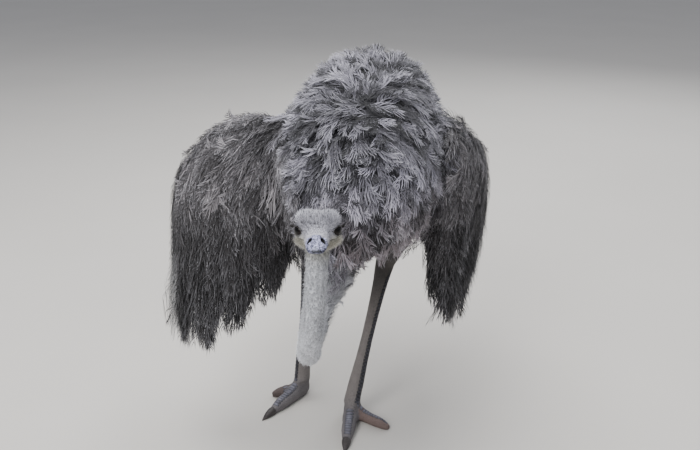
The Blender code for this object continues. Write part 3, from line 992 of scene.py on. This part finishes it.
class OSTRICH_OT_scutes(bpy.types.Operator):
    """Lays the rows of horn plates down the shins and along the toes"""

    bl_idname = "ostrich.scutes"
    bl_label = "Scutes"

    def execute(self, context):
        horn = horn_material("scute_horn", (0.45, 0.70), 140.0, (1.0, 1.0, 1.0))
        for side in SIDES:
            shape = bmesh.new()
            heading = toe_heading(side)
            front = (heading + ACROSS * (0.75 if side == "left" else -0.45)).normalized()
            outward = level(centre_of("toe_outer_" + side) - centre_of("toe_main_" + side))
            # A row's solid, its steps, way and facing, its width and the width's change, and
            # the scutes' pitch and rise
            for solid, steps, way, *row in (
                ("tarsus_", 12, -UP, front, 0.019, 0.005, 0.0115, 0.0026),
                ("toe_main_", 8, heading, UP, 0.030, -0.008, 0.0100, 0.0024),
                ("toe_outer_", 6, outward, UP, 0.022, -0.007, 0.0090, 0.0018),
            ):
                scute_row(shape, store["skin_finder"], middle_line(solid + side, steps, way), *row)
            bmesh.ops.recalc_face_normals(shape, faces=shape.faces)
            scutes = put("scutes_" + side, shape)
            points = read_all(scutes.data.vertices, "co", 3)
            layer = scutes.data.attributes["border"]
            border = read_all(layer.data, "value", 1)[:, 0]
            scutes.data.attributes.remove(layer)
            share = 1.0 - 0.72 * ease(*SHIN_FROM, points[:, 2])
            share *= (1.0 + 0.5 * grainy(points, 60.0)) * (1.0 - 0.75 * border)
            paint(scutes, rgb("scute") * share[:, None])
            dress(scutes, horn, "claw")
        return {"FINISHED"}


# ---- Plume shapes ----

# Feathers by kind: their barbs, rib width and bare share of the stem, then for each template
# its seed, pitch, curl, sway, barb, sweep, droop and width
FEATHERS = {
    "curled": (
        (12, 0.016, 0.12),
        (11, 2, -18, 46, 0.36, 60, -0.15, 0.024),
        (12, 6, -30, -52, 0.34, 57, -0.3, 0.025),
        (13, 0, 12, 84, 0.35, 62, 0.1, 0.024),
        (14, 9, -8, -88, 0.36, 58, -0.1, 0.023),
        (15, -2, -24, 16, 0.38, 60, -0.2, 0.025),
        (16, 4, 34, -26, 0.34, 60, 0.3, 0.024),
    ),
    "covert": (
        (10, 0.016, 0.12),
        (21, 2, 14, 10, 0.27, 62, 0.1, 0.020),
        (22, 6, -26, -14, 0.26, 60, -0.3, 0.020),
        (23, 0, 36, 22, 0.25, 64, 0.3, 0.019),
        (24, 8, -8, -32, 0.28, 60, -0.1, 0.020),
    ),
    "hanging": (
        (13, 0.008, 0.04),
        (31, 2, -6, 8, 0.30, 74, -0.2, 0.0095),
        (32, 4, 10, -10, 0.32, 72, 0.2, 0.0095),
        (33, 0, -16, 16, 0.28, 75, -0.1, 0.0090),
        (34, 6, 4, -18, 0.30, 72, 0.1, 0.0095),
    ),
}
RIB_STEPS = 24
PATCH = 0.003  # how wide a tuft's patch is on the map


def template():
    """An empty shape, with layers for its shades and its places on the tuft's patch."""
    shape = bmesh.new()
    return shape, [shape.verts.layers.float.new(n) for n in ("shade", "px", "py")]


def strip(shape, layers, points, sides, widths, shades, patches):
    """A flat tapering ribbon along a few points, which ends in a single point."""
    count = len(points) - 1
    made = bmesh.ops.create_grid(shape, x_segments=count, y_segments=1, size=0.5)
    for vert in made["verts"]:
        k = int(round((vert.co.x + 0.5) * count))
        hand = 1.0 if vert.co.y > 0 else -1.0
        vert.co = points[k] + sides[k] * (hand * widths[k] * 0.5)
        px, py, across = patches[k]
        vert[layers[0]] = shades[k]
        vert[layers[1]] = px + hand * 0.02 * (widths[k] > 0) * across
        vert[layers[2]] = py + hand * 0.02 * (widths[k] > 0) * (1.0 - across)


def strand(shape, layers, root, first, final, flat, widths, shades, patches):
    """A ribbon of two lengths from its root, given as vectors."""
    points = (root, root + first, root + first + final)
    strip(shape, layers, points, (flat,) * 3, (*widths, 0.0), shades, patches)


def plume(stem, seed, pitch, curl, sway, barb, sweep, droop, width):
    """A loose feather one unit long: a rib with soft barbs to both sides.

    pitch and curl are the rib's slope at its root and end, sway its turn to the side, barb the
    length of its longest barb, sweep how far the barbs lean towards its tip.
    """
    barbs, rib, bare = stem
    rng = np.random.default_rng(seed)
    shape, layers = template()
    ribs = [Vector((0.0, 0.0, 0.0))]
    heads = []
    for k in range(RIB_STEPS + 1):
        t = k / RIB_STEPS
        rise = math.radians(pitch + (curl - pitch) * t**1.6)
        turn = math.radians(sway * t**1.5)
        level_part = math.cos(rise)
        way = (level_part * math.cos(turn), level_part * math.sin(turn), math.sin(rise))
        heads.append(Vector(way))
        if k < RIB_STEPS:
            ribs.append(ribs[-1] + heads[-1] / RIB_STEPS)

    def at(t):
        i = min(int(t * RIB_STEPS), RIB_STEPS)
        side = UP.cross(heads[i]).normalized()
        return ribs[i], heads[i], side, heads[i].cross(side)

    picks = (0.0, 0.40, 0.75, 1.0)
    widths = (rib, rib * 0.8, rib * 0.55, 0.0)
    middles = [(t, 0.5, 0.0) for t in picks]
    points, _, sides, _ = zip(*(at(t) for t in picks))
    strip(shape, layers, points, sides, widths, (0.5, 0.85, 0.95, 1.0), middles)
    for hand in (1.0, -1.0):
        for k in range(barbs):
            t = bare + (0.98 - bare) * (k + rng.uniform(0.2, 0.8)) / barbs
            root, head, side, top = at(t)
            size = barb * (math.sin(math.pi * min(t * 0.92 + 0.10, 1.0)) ** 0.6 + 0.12)
            size *= rng.uniform(0.75, 1.15)
            lean = math.radians(sweep * rng.uniform(0.8, 1.25))
            swept = lean + (math.radians(88.0) - lean) * 0.6
            first, final = (
                head * math.sin(angle) + side * (hand * math.cos(angle)) + top * rise
                for angle, rise in (
                    (lean, rng.uniform(-0.1, 0.25)),
                    (swept, droop + rng.uniform(-0.3, 0.3)),
                )
            )
            first.normalize()
            final.normalize()
            flat = top.cross(first).normalized()
            shades = (0.15 + 0.3 * t, 0.45 + 0.3 * t, 0.75 + 0.25 * t)
            lanes = ((0.0, 0.04), (0.04, 0.27), (0.08, 0.48))
            places = [(t * 0.9 + further, 0.5 + hand * lane, 1.0) for further, lane in lanes]
            first, final = first * size * 0.5, final * size * 0.55
            widths = (width, width * 0.85)
            strand(shape, layers, root, first, final, flat, widths, shades, places)
    return taken(shape, layers)


def wisp(seed, strands, fan, lift, bend, width):
    """A small tuft of separate fine strands, one unit long."""
    rng = np.random.default_rng(seed)
    shape, layers = template()
    for k in range(strands):
        yaw = math.radians(rng.uniform(-fan, fan))
        rise = math.radians(lift + rng.uniform(-12.0, 12.0))
        bow = math.radians(bend * rng.uniform(0.5, 1.4))
        root = Vector((rng.uniform(-0.2, 0.2), rng.uniform(-0.25, 0.25), 0.0))
        size = rng.uniform(0.65, 1.1)
        heading = Vector((math.cos(yaw), math.sin(yaw), 0.0))
        first, final = (
            (heading * math.cos(angle) + UP * math.sin(angle)) * size * 0.5
            for angle in (rise, rise + bow)
        )
        flat = UP.cross(heading).normalized()
        places = [(t, (k + 0.5) / strands, 0.0) for t in (0.1, 0.5, 0.9)]
        widths = (width, width * 0.8)
        strand(shape, layers, root, first, final, flat, widths, (0.25, 0.6, 1.0), places)
    return taken(shape, layers)


def taken(shape, layers):
    """Points, triangles, shades and patch places of a template."""
    bmesh.ops.remove_doubles(shape, verts=shape.verts, dist=1e-6)
    bmesh.ops.triangulate(shape, faces=shape.faces)
    shape.verts.index_update()
    points = coords(shape)
    tris = np.array([[v.index for v in f.verts] for f in shape.faces])
    shades = np.array([v[layers[0]] for v in shape.verts])
    patch = np.array([[v[layers[1]], v[layers[2]]] for v in shape.verts])
    shape.free()
    return points, tris, shades, np.clip(patch, 0.0, 1.0)


def plume_set(kind):
    """Templates of one kind of feather."""
    stem, *rows = FEATHERS[kind]
    return [plume(stem, *row) for row in rows]


# ---- Where plumes stand and how they lie ----


def spots(spacing, seed, keep):
    """Evenly scattered roots on the skin: places, normals, map places and regions."""
    rng = np.random.default_rng(seed)
    points, tris, normals = store["points"], store["tris"], store["normals"]
    middles = points[tris].mean(axis=1)
    wanted = np.nonzero(keep(store["tri_owner"], middles, normals[tris].mean(axis=1)))[0]
    one, two, three = points[tris[wanted]].transpose(1, 0, 2)
    area = np.linalg.norm(np.cross(two - one, three - one), axis=1) / 2.0
    total = int(area.sum() / spacing**2 * 5.0)
    chosen = rng.choice(len(wanted), size=total, p=area / area.sum())
    mix = rng.dirichlet((1.0, 1.0, 1.0), size=total)
    picked = wanted[chosen]
    places = np.einsum("ij,ijk->ik", mix, points[tris[picked]])
    cells = np.floor(places / (spacing * 1.12)).astype(np.int64)
    _, first = np.unique(cells, axis=0, return_index=True)
    first.sort()
    mix, picked, places = mix[first], picked[first], places[first]
    return {
        "place": places,
        "normal": unit(np.einsum("ij,ijk->ik", mix, normals[tris[picked]])),
        "uv": np.einsum("ij,ijk->ik", mix, store["tri_uv"][picked]),
        "owner": store["tri_owner"][picked],
    }


def narrowed(found, mask):
    return {key: value[mask] for key, value in found.items()}


def in_the_open(found, room):
    """The roots that have nothing of the skin close above them."""
    cast = store["skin_finder"].ray_cast
    starts = found["place"] + found["normal"] * 0.004
    pairs = zip(starts, found["normal"])
    clear = [cast(Vector(start), Vector(way), room)[0] is None for start, way in pairs]
    return narrowed(found, np.array(clear))


def lie_of(places, normals, owners):
    """The way the coat lies at each place."""
    lie = unit(places - np.array(WHORL))
    lie[:, 2] -= 0.25
    for name, sign in (("wing_left", 1.0), ("wing_right", -1.0)):
        low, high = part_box(name)
        hinge = np.array((low.x if sign > 0 else high.x, (low.y + high.y) / 2.0 + 0.02, high.z))
        flat = places - hinge
        flat[:, 2] = 0.0
        down = ease(high.z - 0.02, high.z - 0.30, places[:, 2])[:, None]
        way = unit(flat) * (1.0 - 0.85 * down) - np.array(UP) * (0.25 + 1.1 * down)
        beside = among(owners, "trunk") * shoulder(places) * (places[:, 0] * sign > 0.10 * sign)
        share = np.maximum(among(owners, name), beside)[:, None]
        lie = lie * (1.0 - share) + unit(way) * share
    lie[among(owners, "tail") > 0] = (0.02, 0.45, -1.0)
    chain = [BROW_POINT] + [centre_of(n) for n in reversed(NECK)] + [centre_of("trunk")]
    for i, name in enumerate(reversed(NECK)):
        lie[among(owners, name) > 0] = (chain[i + 2] - chain[i]).normalized()
    lie[among(owners, "head") > 0] = -np.array(AHEAD) + 0.25 * np.array(CROWNWARD)
    lie = lie - normals * np.sum(lie * normals, axis=1, keepdims=True)
    return unit(lie)


def pressed(tips, limits):
    """How far each tip must move in so that it stands no more than its limit off the solids."""
    push = np.zeros((len(tips), 3))
    for i, tip in enumerate(tips):
        near, normal, _, _ = store["finder"].find_nearest(Vector(tip))
        away = Vector(tip) - near
        outside = away.dot(normal) > 0.0
        if away.z < 0.0:
            away.z *= 0.25
        far = away.length
        if outside and far > limits[i]:
            push[i] = away * ((far - limits[i]) / max(far, 1e-6))
    return push


def tones_at(found, light):
    """The base and tip colours of the plumes at each root."""
    places = found["place"]
    base = coat_colour(places, found["owner"]) * light
    uneven = 0.35 * grainy(places, 9.0, 3.0) + 0.25 * grainy(places, 38.0, 5.0)
    base = base * (1.0 + uneven)[:, None]
    # The tip colour is partly the plumes' own pale ends and partly painted highlight
    share = 0.75 + 0.5 * grainy(places, 25.0, 9.0)
    tip = base + (rgb("tip") - base) * np.clip(share, 0.1, 1.0)[:, None]
    # The tips whiten on the right wing's outer lower fringe
    pale_fringe = ease(-0.400, -0.445, places[:, 0]) * ease(0.82, 0.70, places[:, 2])
    return base, tip + (0.62 - tip) * pale_fringe[:, None] * 0.8


def axes_of(found, lift, scatter, seed, rng):
    """The way ahead, to the side and out of each tuft, strayed from the coat's lie."""
    places, normal = found["place"], found["normal"]
    count = len(places)
    lie = lie_of(places, normal, found["owner"])
    clumps = grainy(places, 15.0, seed)
    whorl = np.array(store["skin_finder"].find_nearest(WHORL)[0])
    from_whorl = np.linalg.norm(places - whorl, axis=1)
    near, core = bell(from_whorl, 0.0, 0.12), bell(from_whorl, 0.0, 0.07)
    stray = rng.normal(0.0, scatter * 0.6, count) * (1.0 + 2.0 * near)
    stray += (2.4 * scatter + 60.0 * near) * clumps + core * rng.uniform(-180.0, 180.0, count)
    yaw = np.radians(stray)[:, None]
    heading = lie * np.cos(yaw) + np.cross(normal, lie) * np.sin(yaw)
    rise = 12.0 * near + lift + rng.normal(0.0, 4.0, count)
    rise = np.radians(rise + 0.9 * lift * grainy(places, 19.0, seed + 7.0))[:, None]
    ahead = heading * np.cos(rise) + normal * np.sin(rise)
    out = normal * np.cos(rise) - heading * np.sin(rise)
    return ahead, np.cross(normal, heading), out


def plant(
    name, found, templates, length, lift, scatter, seed, look,
    light=1.0, tones=None, wide=1.0, sag=0.0, proud=None, pale=0.62, uneven=0.16,
):
    """Joins one tuft at each root into a single mesh and paints and maps it.

    lift is the tufts' slope off the skin and scatter how far they stray, in degrees. look is
    the material and the slot. light brightens the coat's own tones, which tones replaces. wide
    and sag are how far the tufts are widened and how far they hang down by their tips, as
    shares. Tips that stand more than proud off the solids are bent back to them. pale is the
    share of the tip's colour and uneven how much the tufts differ in tone.
    """
    rng = np.random.default_rng(seed)
    count = len(found["place"])
    ahead, side, out = axes_of(found, lift, scatter, seed, rng)
    length = length * rng.uniform(0.8, 1.2, count)
    base, tip = tones or tones_at(found, light)
    mood = np.clip(rng.normal(1.0, uneven, count), 0.35, 1.9)[:, None]
    base = base * mood
    tip = tip * np.clip(0.5 + 0.5 * mood, 0.6, 1.3)
    kind = rng.integers(0, len(templates), count)
    pieces, offset = [], 0
    for index, (points, tris, shades, patch) in enumerate(templates):
        mine = np.nonzero(kind == index)[0]
        if not len(mine):
            continue
        size = length[mine][:, None]
        flip = np.where(rng.random(len(mine)) < 0.5, -1.0, 1.0)[:, None]
        x, y, z = points.T[:, None]
        placed = (
            found["place"][mine][:, None]
            + ahead[mine][:, None] * (x * size)[..., None]
            + side[mine][:, None] * (y * size * wide * flip)[..., None]
            + out[mine][:, None] * (z * size)[..., None]
        )
        reach = np.clip(x, 0.0, 1.3)
        placed[..., 2] -= sag * size * reach**2
        if proud is not None:
            tip_at = int(np.argmax(points[:, 0]))
            push = pressed(placed[:, tip_at], proud + rng.uniform(-0.012, 0.004, len(mine)))
            placed -= push[:, None] * ((reach / reach[0, tip_at]) ** 1.6)[..., None]
        uv = np.clip(found["uv"][mine], 0.004, 0.996)[:, None] + (patch[None] - 0.5) * PATCH
        share = shades[None, :, None]
        # The tips whiten: partly their own pale ends, partly painted highlight on the crests of the
        # barbs
        whiten = ease(0.72, 1.0, share) * pale
        # The roots darken: partly the vanes' own darker bases, partly painted shade where they lie
        # under other plumes
        body = base[mine][:, None] * (0.12 + 0.88 * share)
        tint = body * (1.0 - whiten) + tip[mine][:, None] * whiten
        starts = offset + np.arange(len(mine))[:, None, None] * len(points)
        pieces.append((placed, tris[None] + starts, uv, tint))
        offset += len(mine) * len(points)
    whole = [np.concatenate([p.reshape(-1, p.shape[-1]) for p in kind]) for kind in zip(*pieces)]
    return joined(name, *whole, look)


def joined(name, points, tris, uv, tint, look):
    """One mapped and painted mesh, kept within the coat's allowance round the solids."""
    low, high = (np.array(c) for c in CAD_BOX)
    spare = 0.02 * (high - low) + 0.006
    points = np.clip(points, low - spare, high + spare)
    points[:, 2] = np.maximum(points[:, 2], 0.0)
    mesh = bpy.data.meshes.new(name)
    mesh.vertices.add(len(points))
    mesh.vertices.foreach_set("co", points.ravel())
    mesh.loops.add(tris.size)
    mesh.loops.foreach_set("vertex_index", tris.ravel().astype(np.int32))
    mesh.polygons.add(len(tris))
    mesh.polygons.foreach_set("loop_start", np.arange(0, tris.size, 3, dtype=np.int32))
    mesh.update(calc_edges=True)
    mesh.shade_smooth()
    layer = mesh.uv_layers.new(name="OFBake")
    layer.uv.foreach_set("vector", uv[tris.ravel()].ravel().astype(np.float32))
    piece = link(name, mesh)
    paint(piece, tint)
    dress(piece, *look)


# ---- The coat ----

# The trunk's bands: name, heights, seed, share of the plumes' length and light, a painted light
# which makes the band of the breast and flanks brighter than the back and belly
BANDS = (
    ("back", 0.98, 2.0, 41, 1.0, 0.86),
    ("flank", 0.80, 0.98, 42, 0.95, 1.40),
    ("belly", 0.0, 0.80, 43, 0.75, 1.10),
)
# Their layers: name, spacing, length, lift, light, pale share of the tips and sag. The under
# layer's low light is painted shade in the gaps between the top layer's plumes
LAYERS = (
    ("_under", 0.95, 1.15, 7.0, 0.26, 0.30, 0.10),
    ("", 1.55, 1.45, 13.0, 1.62, 1.0, 0.16),
)
TRUNK_ROOM = 0.020  # how far the skin has to be clear above a root on the trunk
INNER_ROOM = 0.015  # and on the inner face of a wing
PLUMES_PROUD = 0.004  # how far the body plumes' tips may stand off the solids
# The coats of each wing: name, feathers, step of the seed, spacing, face and heights covered,
# length, hem, lift, scatter and what else plant is told. Where hem isn't None, the length is a
# share of the hanging plumes', and hem is how much of the way to the wing's hem they reach.
WING_COATS = (
    ("coverts_", "covert", 0, 0.0135, (True, 0.74), 0.115, None, 8.0, 14.0,
     {"light": 0.60, "sag": 0.20, "proud": 0.002, "pale": 0.7, "uneven": 0.45}),
    ("curls_", "curled", 3, 0.0300, (True, 0.68), 0.112, None, 9.0, 22.0,
     {"light": 1.95, "sag": 0.20, "proud": 0.000, "pale": 1.0, "uneven": 0.42}),
    # The hanging plumes' low light is painted shade below the body
    ("hanging_", "hanging", 1, 0.0150, (True, 0.0, 0.80), 1.0, 1.05, 4.0, 9.0,
     {"light": 0.48, "proud": 0.012, "pale": 0.60, "uneven": 0.80}),
    # The lining's low light is painted shade on the wing's inner face
    ("lining_", "hanging", 2, 0.0190, (False, 0.0, 0.95), 0.8, 0.85, 2.0, 6.0,
     {"light": 0.45, "proud": 0.0, "pale": 0.2}),
)
NECK_PLUMES_FROM = 0.585  # the height from which the neck's root carries plumes
EYE_CLEAR = 0.0045  # how far the down keeps off the eyes
GAPE_CLEAR = 0.003  # and off the mouth's line and the bill


def on(*starts):
    return lambda owners, places, normals: among(owners, *starts) > 0


def wing_face(name, outer, above=-math.inf, below=math.inf):
    """The outer or inner face of a wing, within a band of heights."""
    sign = 1.0 if name == "wing_left" else -1.0
    middle = centre_of("trunk")

    def keep(owners, places, normals):
        away = places - np.array((middle.x, middle.y + 0.10, 0.0))
        away[:, 2] = 0.0
        faces_out = np.sum(unit(away) * normals, axis=1) + 0.5 * normals[:, 2] > 0.0
        mine = (among(owners, name) > 0) & (faces_out == outer)
        if outer:
            near = (shoulder(places) >= 0.5) & (places[:, 0] * sign > 0.10 * sign)
            mine |= (among(owners, "trunk") > 0) & near
        return mine & (places[:, 2] > above) & (places[:, 2] <= below)

    return keep


def to_hem(found, wing, longest):
    """Plume lengths that end near the hem of the wing's solid."""
    hem = np.array([tuple(v) for v in node_points(wing)])
    lengths = np.zeros(len(found["place"]))
    for i, place in enumerate(found["place"]):
        near = np.hypot(hem[:, 0] - place[0], hem[:, 1] - place[1]) < 0.045
        low = hem[near, 2].min() if near.any() else place[2] - longest
        lengths[i] = min(longest, max(place[2] - low + 0.004, 0.05))
    return lengths


class OSTRICH_OT_body_plumes(bpy.types.Operator):
    """Covers the back, breast, flanks and belly with short curled plumes"""

    bl_idname = "ostrich.body_plumes"
    bl_label = "Body plumes"

    def execute(self, context):
        look = (plume_material("body_plumes", 0.78, 0.18), "plumage")
        curled = plume_set("curled")
        spacing = sizes().plume_spacing

        def band(low, high):
            def keep(owners, places, normals):
                own = (among(owners, "trunk") > 0) & (shoulder(places) < 0.5)
                return own & (places[:, 2] > low) & (places[:, 2] <= high)

            return keep

        for name, low, high, seed, share, lit in BANDS:
            for layer, step, size, lift, light, pale, sag in LAYERS:
                found = in_the_open(spots(spacing * step, seed, band(low, high)), TRUNK_ROOM)
                seed += 10
                long = sizes().plume_length * size * share
                more = {"light": light * lit, "sag": sag, "pale": pale, "uneven": 0.42}
                more["proud"] = PLUMES_PROUD
                plant("plumes_" + name + layer, found, curled, long, lift, 20.0, seed, look, **more)
        found = spots(spacing * 0.95, 44, on("neck_root"))
        found = narrowed(found, found["place"][:, 2] > NECK_PLUMES_FROM)
        more = {"proud": PLUMES_PROUD}
        plant("plumes_neck_root", found, curled, 0.062, 10.0, 20.0, 44, look, **more)
        return {"FINISHED"}


class OSTRICH_OT_wing_plumes(bpy.types.Operator):
    """Covers the wings with coverts above and long hanging plumes below"""

    bl_idname = "ostrich.wing_plumes"
    bl_label = "Wing plumes"

    def execute(self, context):
        look = (plume_material("wing_plumes", 0.74, 0.07), "wing_plumage")
        feathers = {kind: plume_set(kind) for kind in FEATHERS}
        long = sizes().hanging_length
        for side, seed in (("left", 51), ("right", 61)):
            wing = "wing_" + side
            for name, kind, step, spacing, face, length, hem, lift, scatter, more in WING_COATS:
                found = spots(spacing, seed + step, wing_face(wing, *face))
                if not face[0]:
                    found = in_the_open(found, INNER_ROOM)
                if hem:
                    length = to_hem(found, wing, long * length) * hem
                more = {**more, "look": look, "seed": seed + step}
                plant(name + side, found, feathers[kind], length, lift, scatter, **more)
        found = spots(0.0200, 66, wing_face("wing_right", True, below=0.68))
        found = narrowed(found, found["place"][:, 0] < -0.425)
        lengths = to_hem(found, "wing_right", long) * 1.15
        tones = [np.full((len(found["place"]), 3), tone) for tone in (0.46, 0.72)]
        more = {"tones": tones, "wide": 0.7, "proud": 0.026, "uneven": 0.30}
        plant("wisps_right", found, feathers["hanging"], lengths, 16.0, 14.0, 66, look, **more)
        found = spots(0.0165, 71, on("tail"))
        more = {"wide": 1.4, "sag": 0.25, "proud": 0.014, "pale": 0.6, "uneven": 0.35}
        plant("tail_plumes", found, feathers["hanging"], 0.165, 5.0, 10.0, 71, look, **more)
        found = spots(0.0300, 72, on("tail"))
        more = {"light": 1.4, "sag": 0.20, "proud": 0.014, "pale": 1.0, "uneven": 0.30}
        plant("tail_curls", found, feathers["curled"], 0.120, 10.0, 22.0, 72, look, **more)
        return {"FINISHED"}


def on_face(owners, places, normals):
    """The feathered head, clear of the eyes, the mouth's line and the bill."""
    a, l, u = head_parts(places)
    clear = among(owners, "head") > 0
    for eye in EYES.values():
        clear &= np.linalg.norm(places - np.array(eye), axis=1) > EYE_RADIUS + EYE_CLEAR
    clear &= (np.abs(u - gape_line(l)) > GAPE_CLEAR) | (l < -0.01)
    return clear & (l < face_edge(a) - GAPE_CLEAR)


class OSTRICH_OT_down(bpy.types.Operator):
    """Covers the neck and head with fine down, bristles and lashes"""

    bl_idname = "ostrich.down"
    bl_label = "Down and bristles"

    def execute(self, context):
        look = (plume_material("neck_down", 0.85, 0.30), "down")
        tufts = [wisp(s, 5, 24.0, 8.0, 12.0, 0.075) for s in (81, 82, 83)]
        found = spots(0.0056, 86, on(*NECK[1:]))
        plant("down_neck", found, tufts, sizes().neck_down, 12.0, 12.0, 86, look)
        tufts = [wisp(s, 7, 26.0, 8.0, 14.0, 0.045) for s in (84, 85)]
        found = spots(0.0120, 87, on("neck_root"))
        plant("down_breast", found, tufts, 0.030, 14.0, 18.0, 87, look)

        found = spots(0.0030, 88, on_face)
        a, l, u = head_parts(found["place"])
        size = 0.0050 + 0.0085 * ease(0.008, 0.030, u) * ease(0.060, 0.020, l)
        size += 0.0080 * ease(-0.006, -0.022, u) * ease(0.048, 0.020, l)
        size += 0.0032 * ease(0.014, 0.034, a) * ease(0.012, 0.030, u)
        size -= 0.0026 * bell(a, 0.0, 0.018) * ease(0.024, 0.034, u)
        size -= 0.0020 * ease(0.045, 0.065, l)
        tufts = [wisp(s, 4, 22.0, 24.0, 8.0, 0.075) for s in (91, 92, 93)]
        plant("bristles_head", found, tufts, size, 16.0, 14.0, 88, look)

        found = spots(0.0056, 89, on_face)
        _, l, u = head_parts(found["place"])
        found = narrowed(found, (u > 0.002) & (l < 0.076))
        a, l, u = head_parts(found["place"])
        size = 0.0075 + 0.0085 * ease(0.008, 0.030, u) * ease(0.055, 0.020, l)
        size -= 0.0032 * ease(0.044, 0.066, l)
        size -= 0.0030 * bell(a, 0.0, 0.018) * ease(0.024, 0.034, u)
        tufts = [wisp(s, 3, 20.0, 26.0, 8.0, 0.055) for s in (94, 95)]
        plant("bristles_dark", found, tufts, size, 20.0, 18.0, 89, look, light=0.16, pale=0.1)
        self.lashes(look)
        return {"FINISHED"}

    def lashes(self, look):
        """Dark lashes along each upper lid."""
        shape, layers = template()
        wide, high = (half + 0.0006 for half in LID_HALF)
        for side, eye in EYES.items():
            out, along, up = eye_axes(side)
            for k in range(26):
                angle = math.radians(18.0 + 144.0 * k / 25.0)
                rim = along * (math.cos(angle) * wide) + up * (math.sin(angle) * high)
                lid = (EYE_RADIUS + LID_STAND) ** 2
                root = eye + rim + out * math.sqrt(max(lid - rim.length_squared, 1e-8))
                away = rim.normalized()
                first = (out * 0.9 + away * 0.8).normalized()
                final = (out * 0.5 + away * 0.9 - UP * 0.15).normalized() * 0.0055
                flat = first.cross(rim).normalized()
                places = [(t, t, 0.0) for t in (0.1, 0.5, 0.9)]
                widths, shades = (0.0009, 0.0007), (0.5,) * 3
                strand(shape, layers, root, first * 0.0050, final, flat, widths, shades, places)
        points, tris, _, patch = taken(shape, layers)
        joined("lashes", points, tris, 0.4 + patch * 0.2, np.tile(LASH, (len(points), 1)), look)


# ---- Floor, light and camera ----

# Area lamps: name, place, width, power and colour
LAMPS = (
    ("overhead", (-0.4, 0.6, 5.0), 5.0, 345.0, (1.0, 1.0, 1.0)),
    ("front", (-1.8, -3.6, 3.6), 3.0, 195.0, (1.0, 1.0, 1.0)),
    ("behind", (2.2, 4.2, 3.6), 4.0, 130.0, (0.96, 0.98, 1.0)),
)
LAMPS_AIM = Vector((0.0, 0.0, 0.7))
FLOOR_HALF = 30.0
SKY = (0.86, 0.90, 1.0, 1.0)
SKY_STRENGTH = 0.48
CAMERA_PLACE = (0.0559, -2.4400, 1.6)
CAMERA_DOWN = 20.5
CAMERA_LENS = 46.29  # millimetres, on a sensor 36 mm wide


class OSTRICH_OT_stage(bpy.types.Operator):
    """Sets a plain pale floor, soft studio light and the camera"""

    bl_idname = "ostrich.stage"
    bl_label = "Stage"

    def execute(self, context):
        scene = context.scene
        shape = bmesh.new()
        bmesh.ops.create_grid(shape, x_segments=4, y_segments=4, size=FLOOR_HALF)
        floor = put("floor", shape, smooth=False)
        material, tree, shader, place = new_material("floor_paint")
        ramp = tree.nodes.new("ShaderNodeValToRGB")
        for element, light in zip(ramp.color_ramp.elements, (0.96, 1.04)):
            element.color = (*(rgb("floor") * light), 1.0)
        join(tree, ramp, Fac=grain(tree, place, 1.4, 3.0))
        join(tree, shader, Base_Color=ramp.outputs["Color"], Roughness=0.9)
        floor.data.materials.append(material)
        for name, place, size, energy, tint in LAMPS:
            light = bpy.data.lights.new(name, "AREA")
            light.shape = "DISK"
            light.size = size
            light.energy = energy
            light.color = tint
            lamp = link(name, light)
            lamp.location = place
            aim = LAMPS_AIM - lamp.location
            lamp.rotation_euler = aim.to_track_quat("-Z", "Y").to_euler()
        world = bpy.data.worlds.new("studio")
        world.use_nodes = True
        join(None, world.node_tree.nodes["Background"], Color=SKY, Strength=SKY_STRENGTH)
        scene.world = world
        view = bpy.data.cameras.new("camera")
        view.lens = CAMERA_LENS
        view.sensor_width = 36.0
        camera = link("camera", view)
        camera.location = CAMERA_PLACE
        camera.rotation_euler = (math.radians(90.0 - CAMERA_DOWN), 0.0, 0.0)
        scene.camera = camera
        return {"FINISHED"}


STEPS = (
    OSTRICH_OT_skin,
    OSTRICH_OT_eyes,
    OSTRICH_OT_bill,
    OSTRICH_OT_claws,
    OSTRICH_OT_scutes,
    OSTRICH_OT_body_plumes,
    OSTRICH_OT_wing_plumes,
    OSTRICH_OT_down,
    OSTRICH_OT_stage,
)


class OSTRICH_PT_panel(bpy.types.Panel):
    """Lists the steps that dress the bird"""

    bl_idname = "OSTRICH_PT_panel"
    bl_label = "Ostrich"
    bl_space_type = "VIEW_3D"
    bl_region_type = "UI"
    bl_category = "Ostrich"

    def draw(self, context):
        layout = self.layout
        for group in (context.scene.ostrich_sizes, context.scene.ostrich_colours):
            box = layout.box()
            for key in group.bl_rna.properties.keys():
                if key not in ("rna_type", "name"):
                    box.prop(group, key)
        for step in STEPS:
            layout.operator(step.bl_idname)


CLASSES = (OSTRICH_PG_sizes, OSTRICH_PG_colours) + STEPS + (OSTRICH_PT_panel,)


def register():
    for made in CLASSES:
        bpy.utils.register_class(made)
    bpy.types.Scene.ostrich_sizes = bpy.props.PointerProperty(type=OSTRICH_PG_sizes)
    bpy.types.Scene.ostrich_colours = bpy.props.PointerProperty(type=OSTRICH_PG_colours)


def unregister():
    del bpy.types.Scene.ostrich_colours
    del bpy.types.Scene.ostrich_sizes
    for made in reversed(CLASSES):
        bpy.utils.unregister_class(made)


def main():
    register()
    for step in STEPS:
        group, name = step.bl_idname.split(".")
        if getattr(getattr(bpy.ops, group), name)() != {"FINISHED"}:
            raise RuntimeError("the step " + step.bl_idname + " did not finish")
    bpy.context.view_layer.update()


if __name__ == "__main__":
    main()
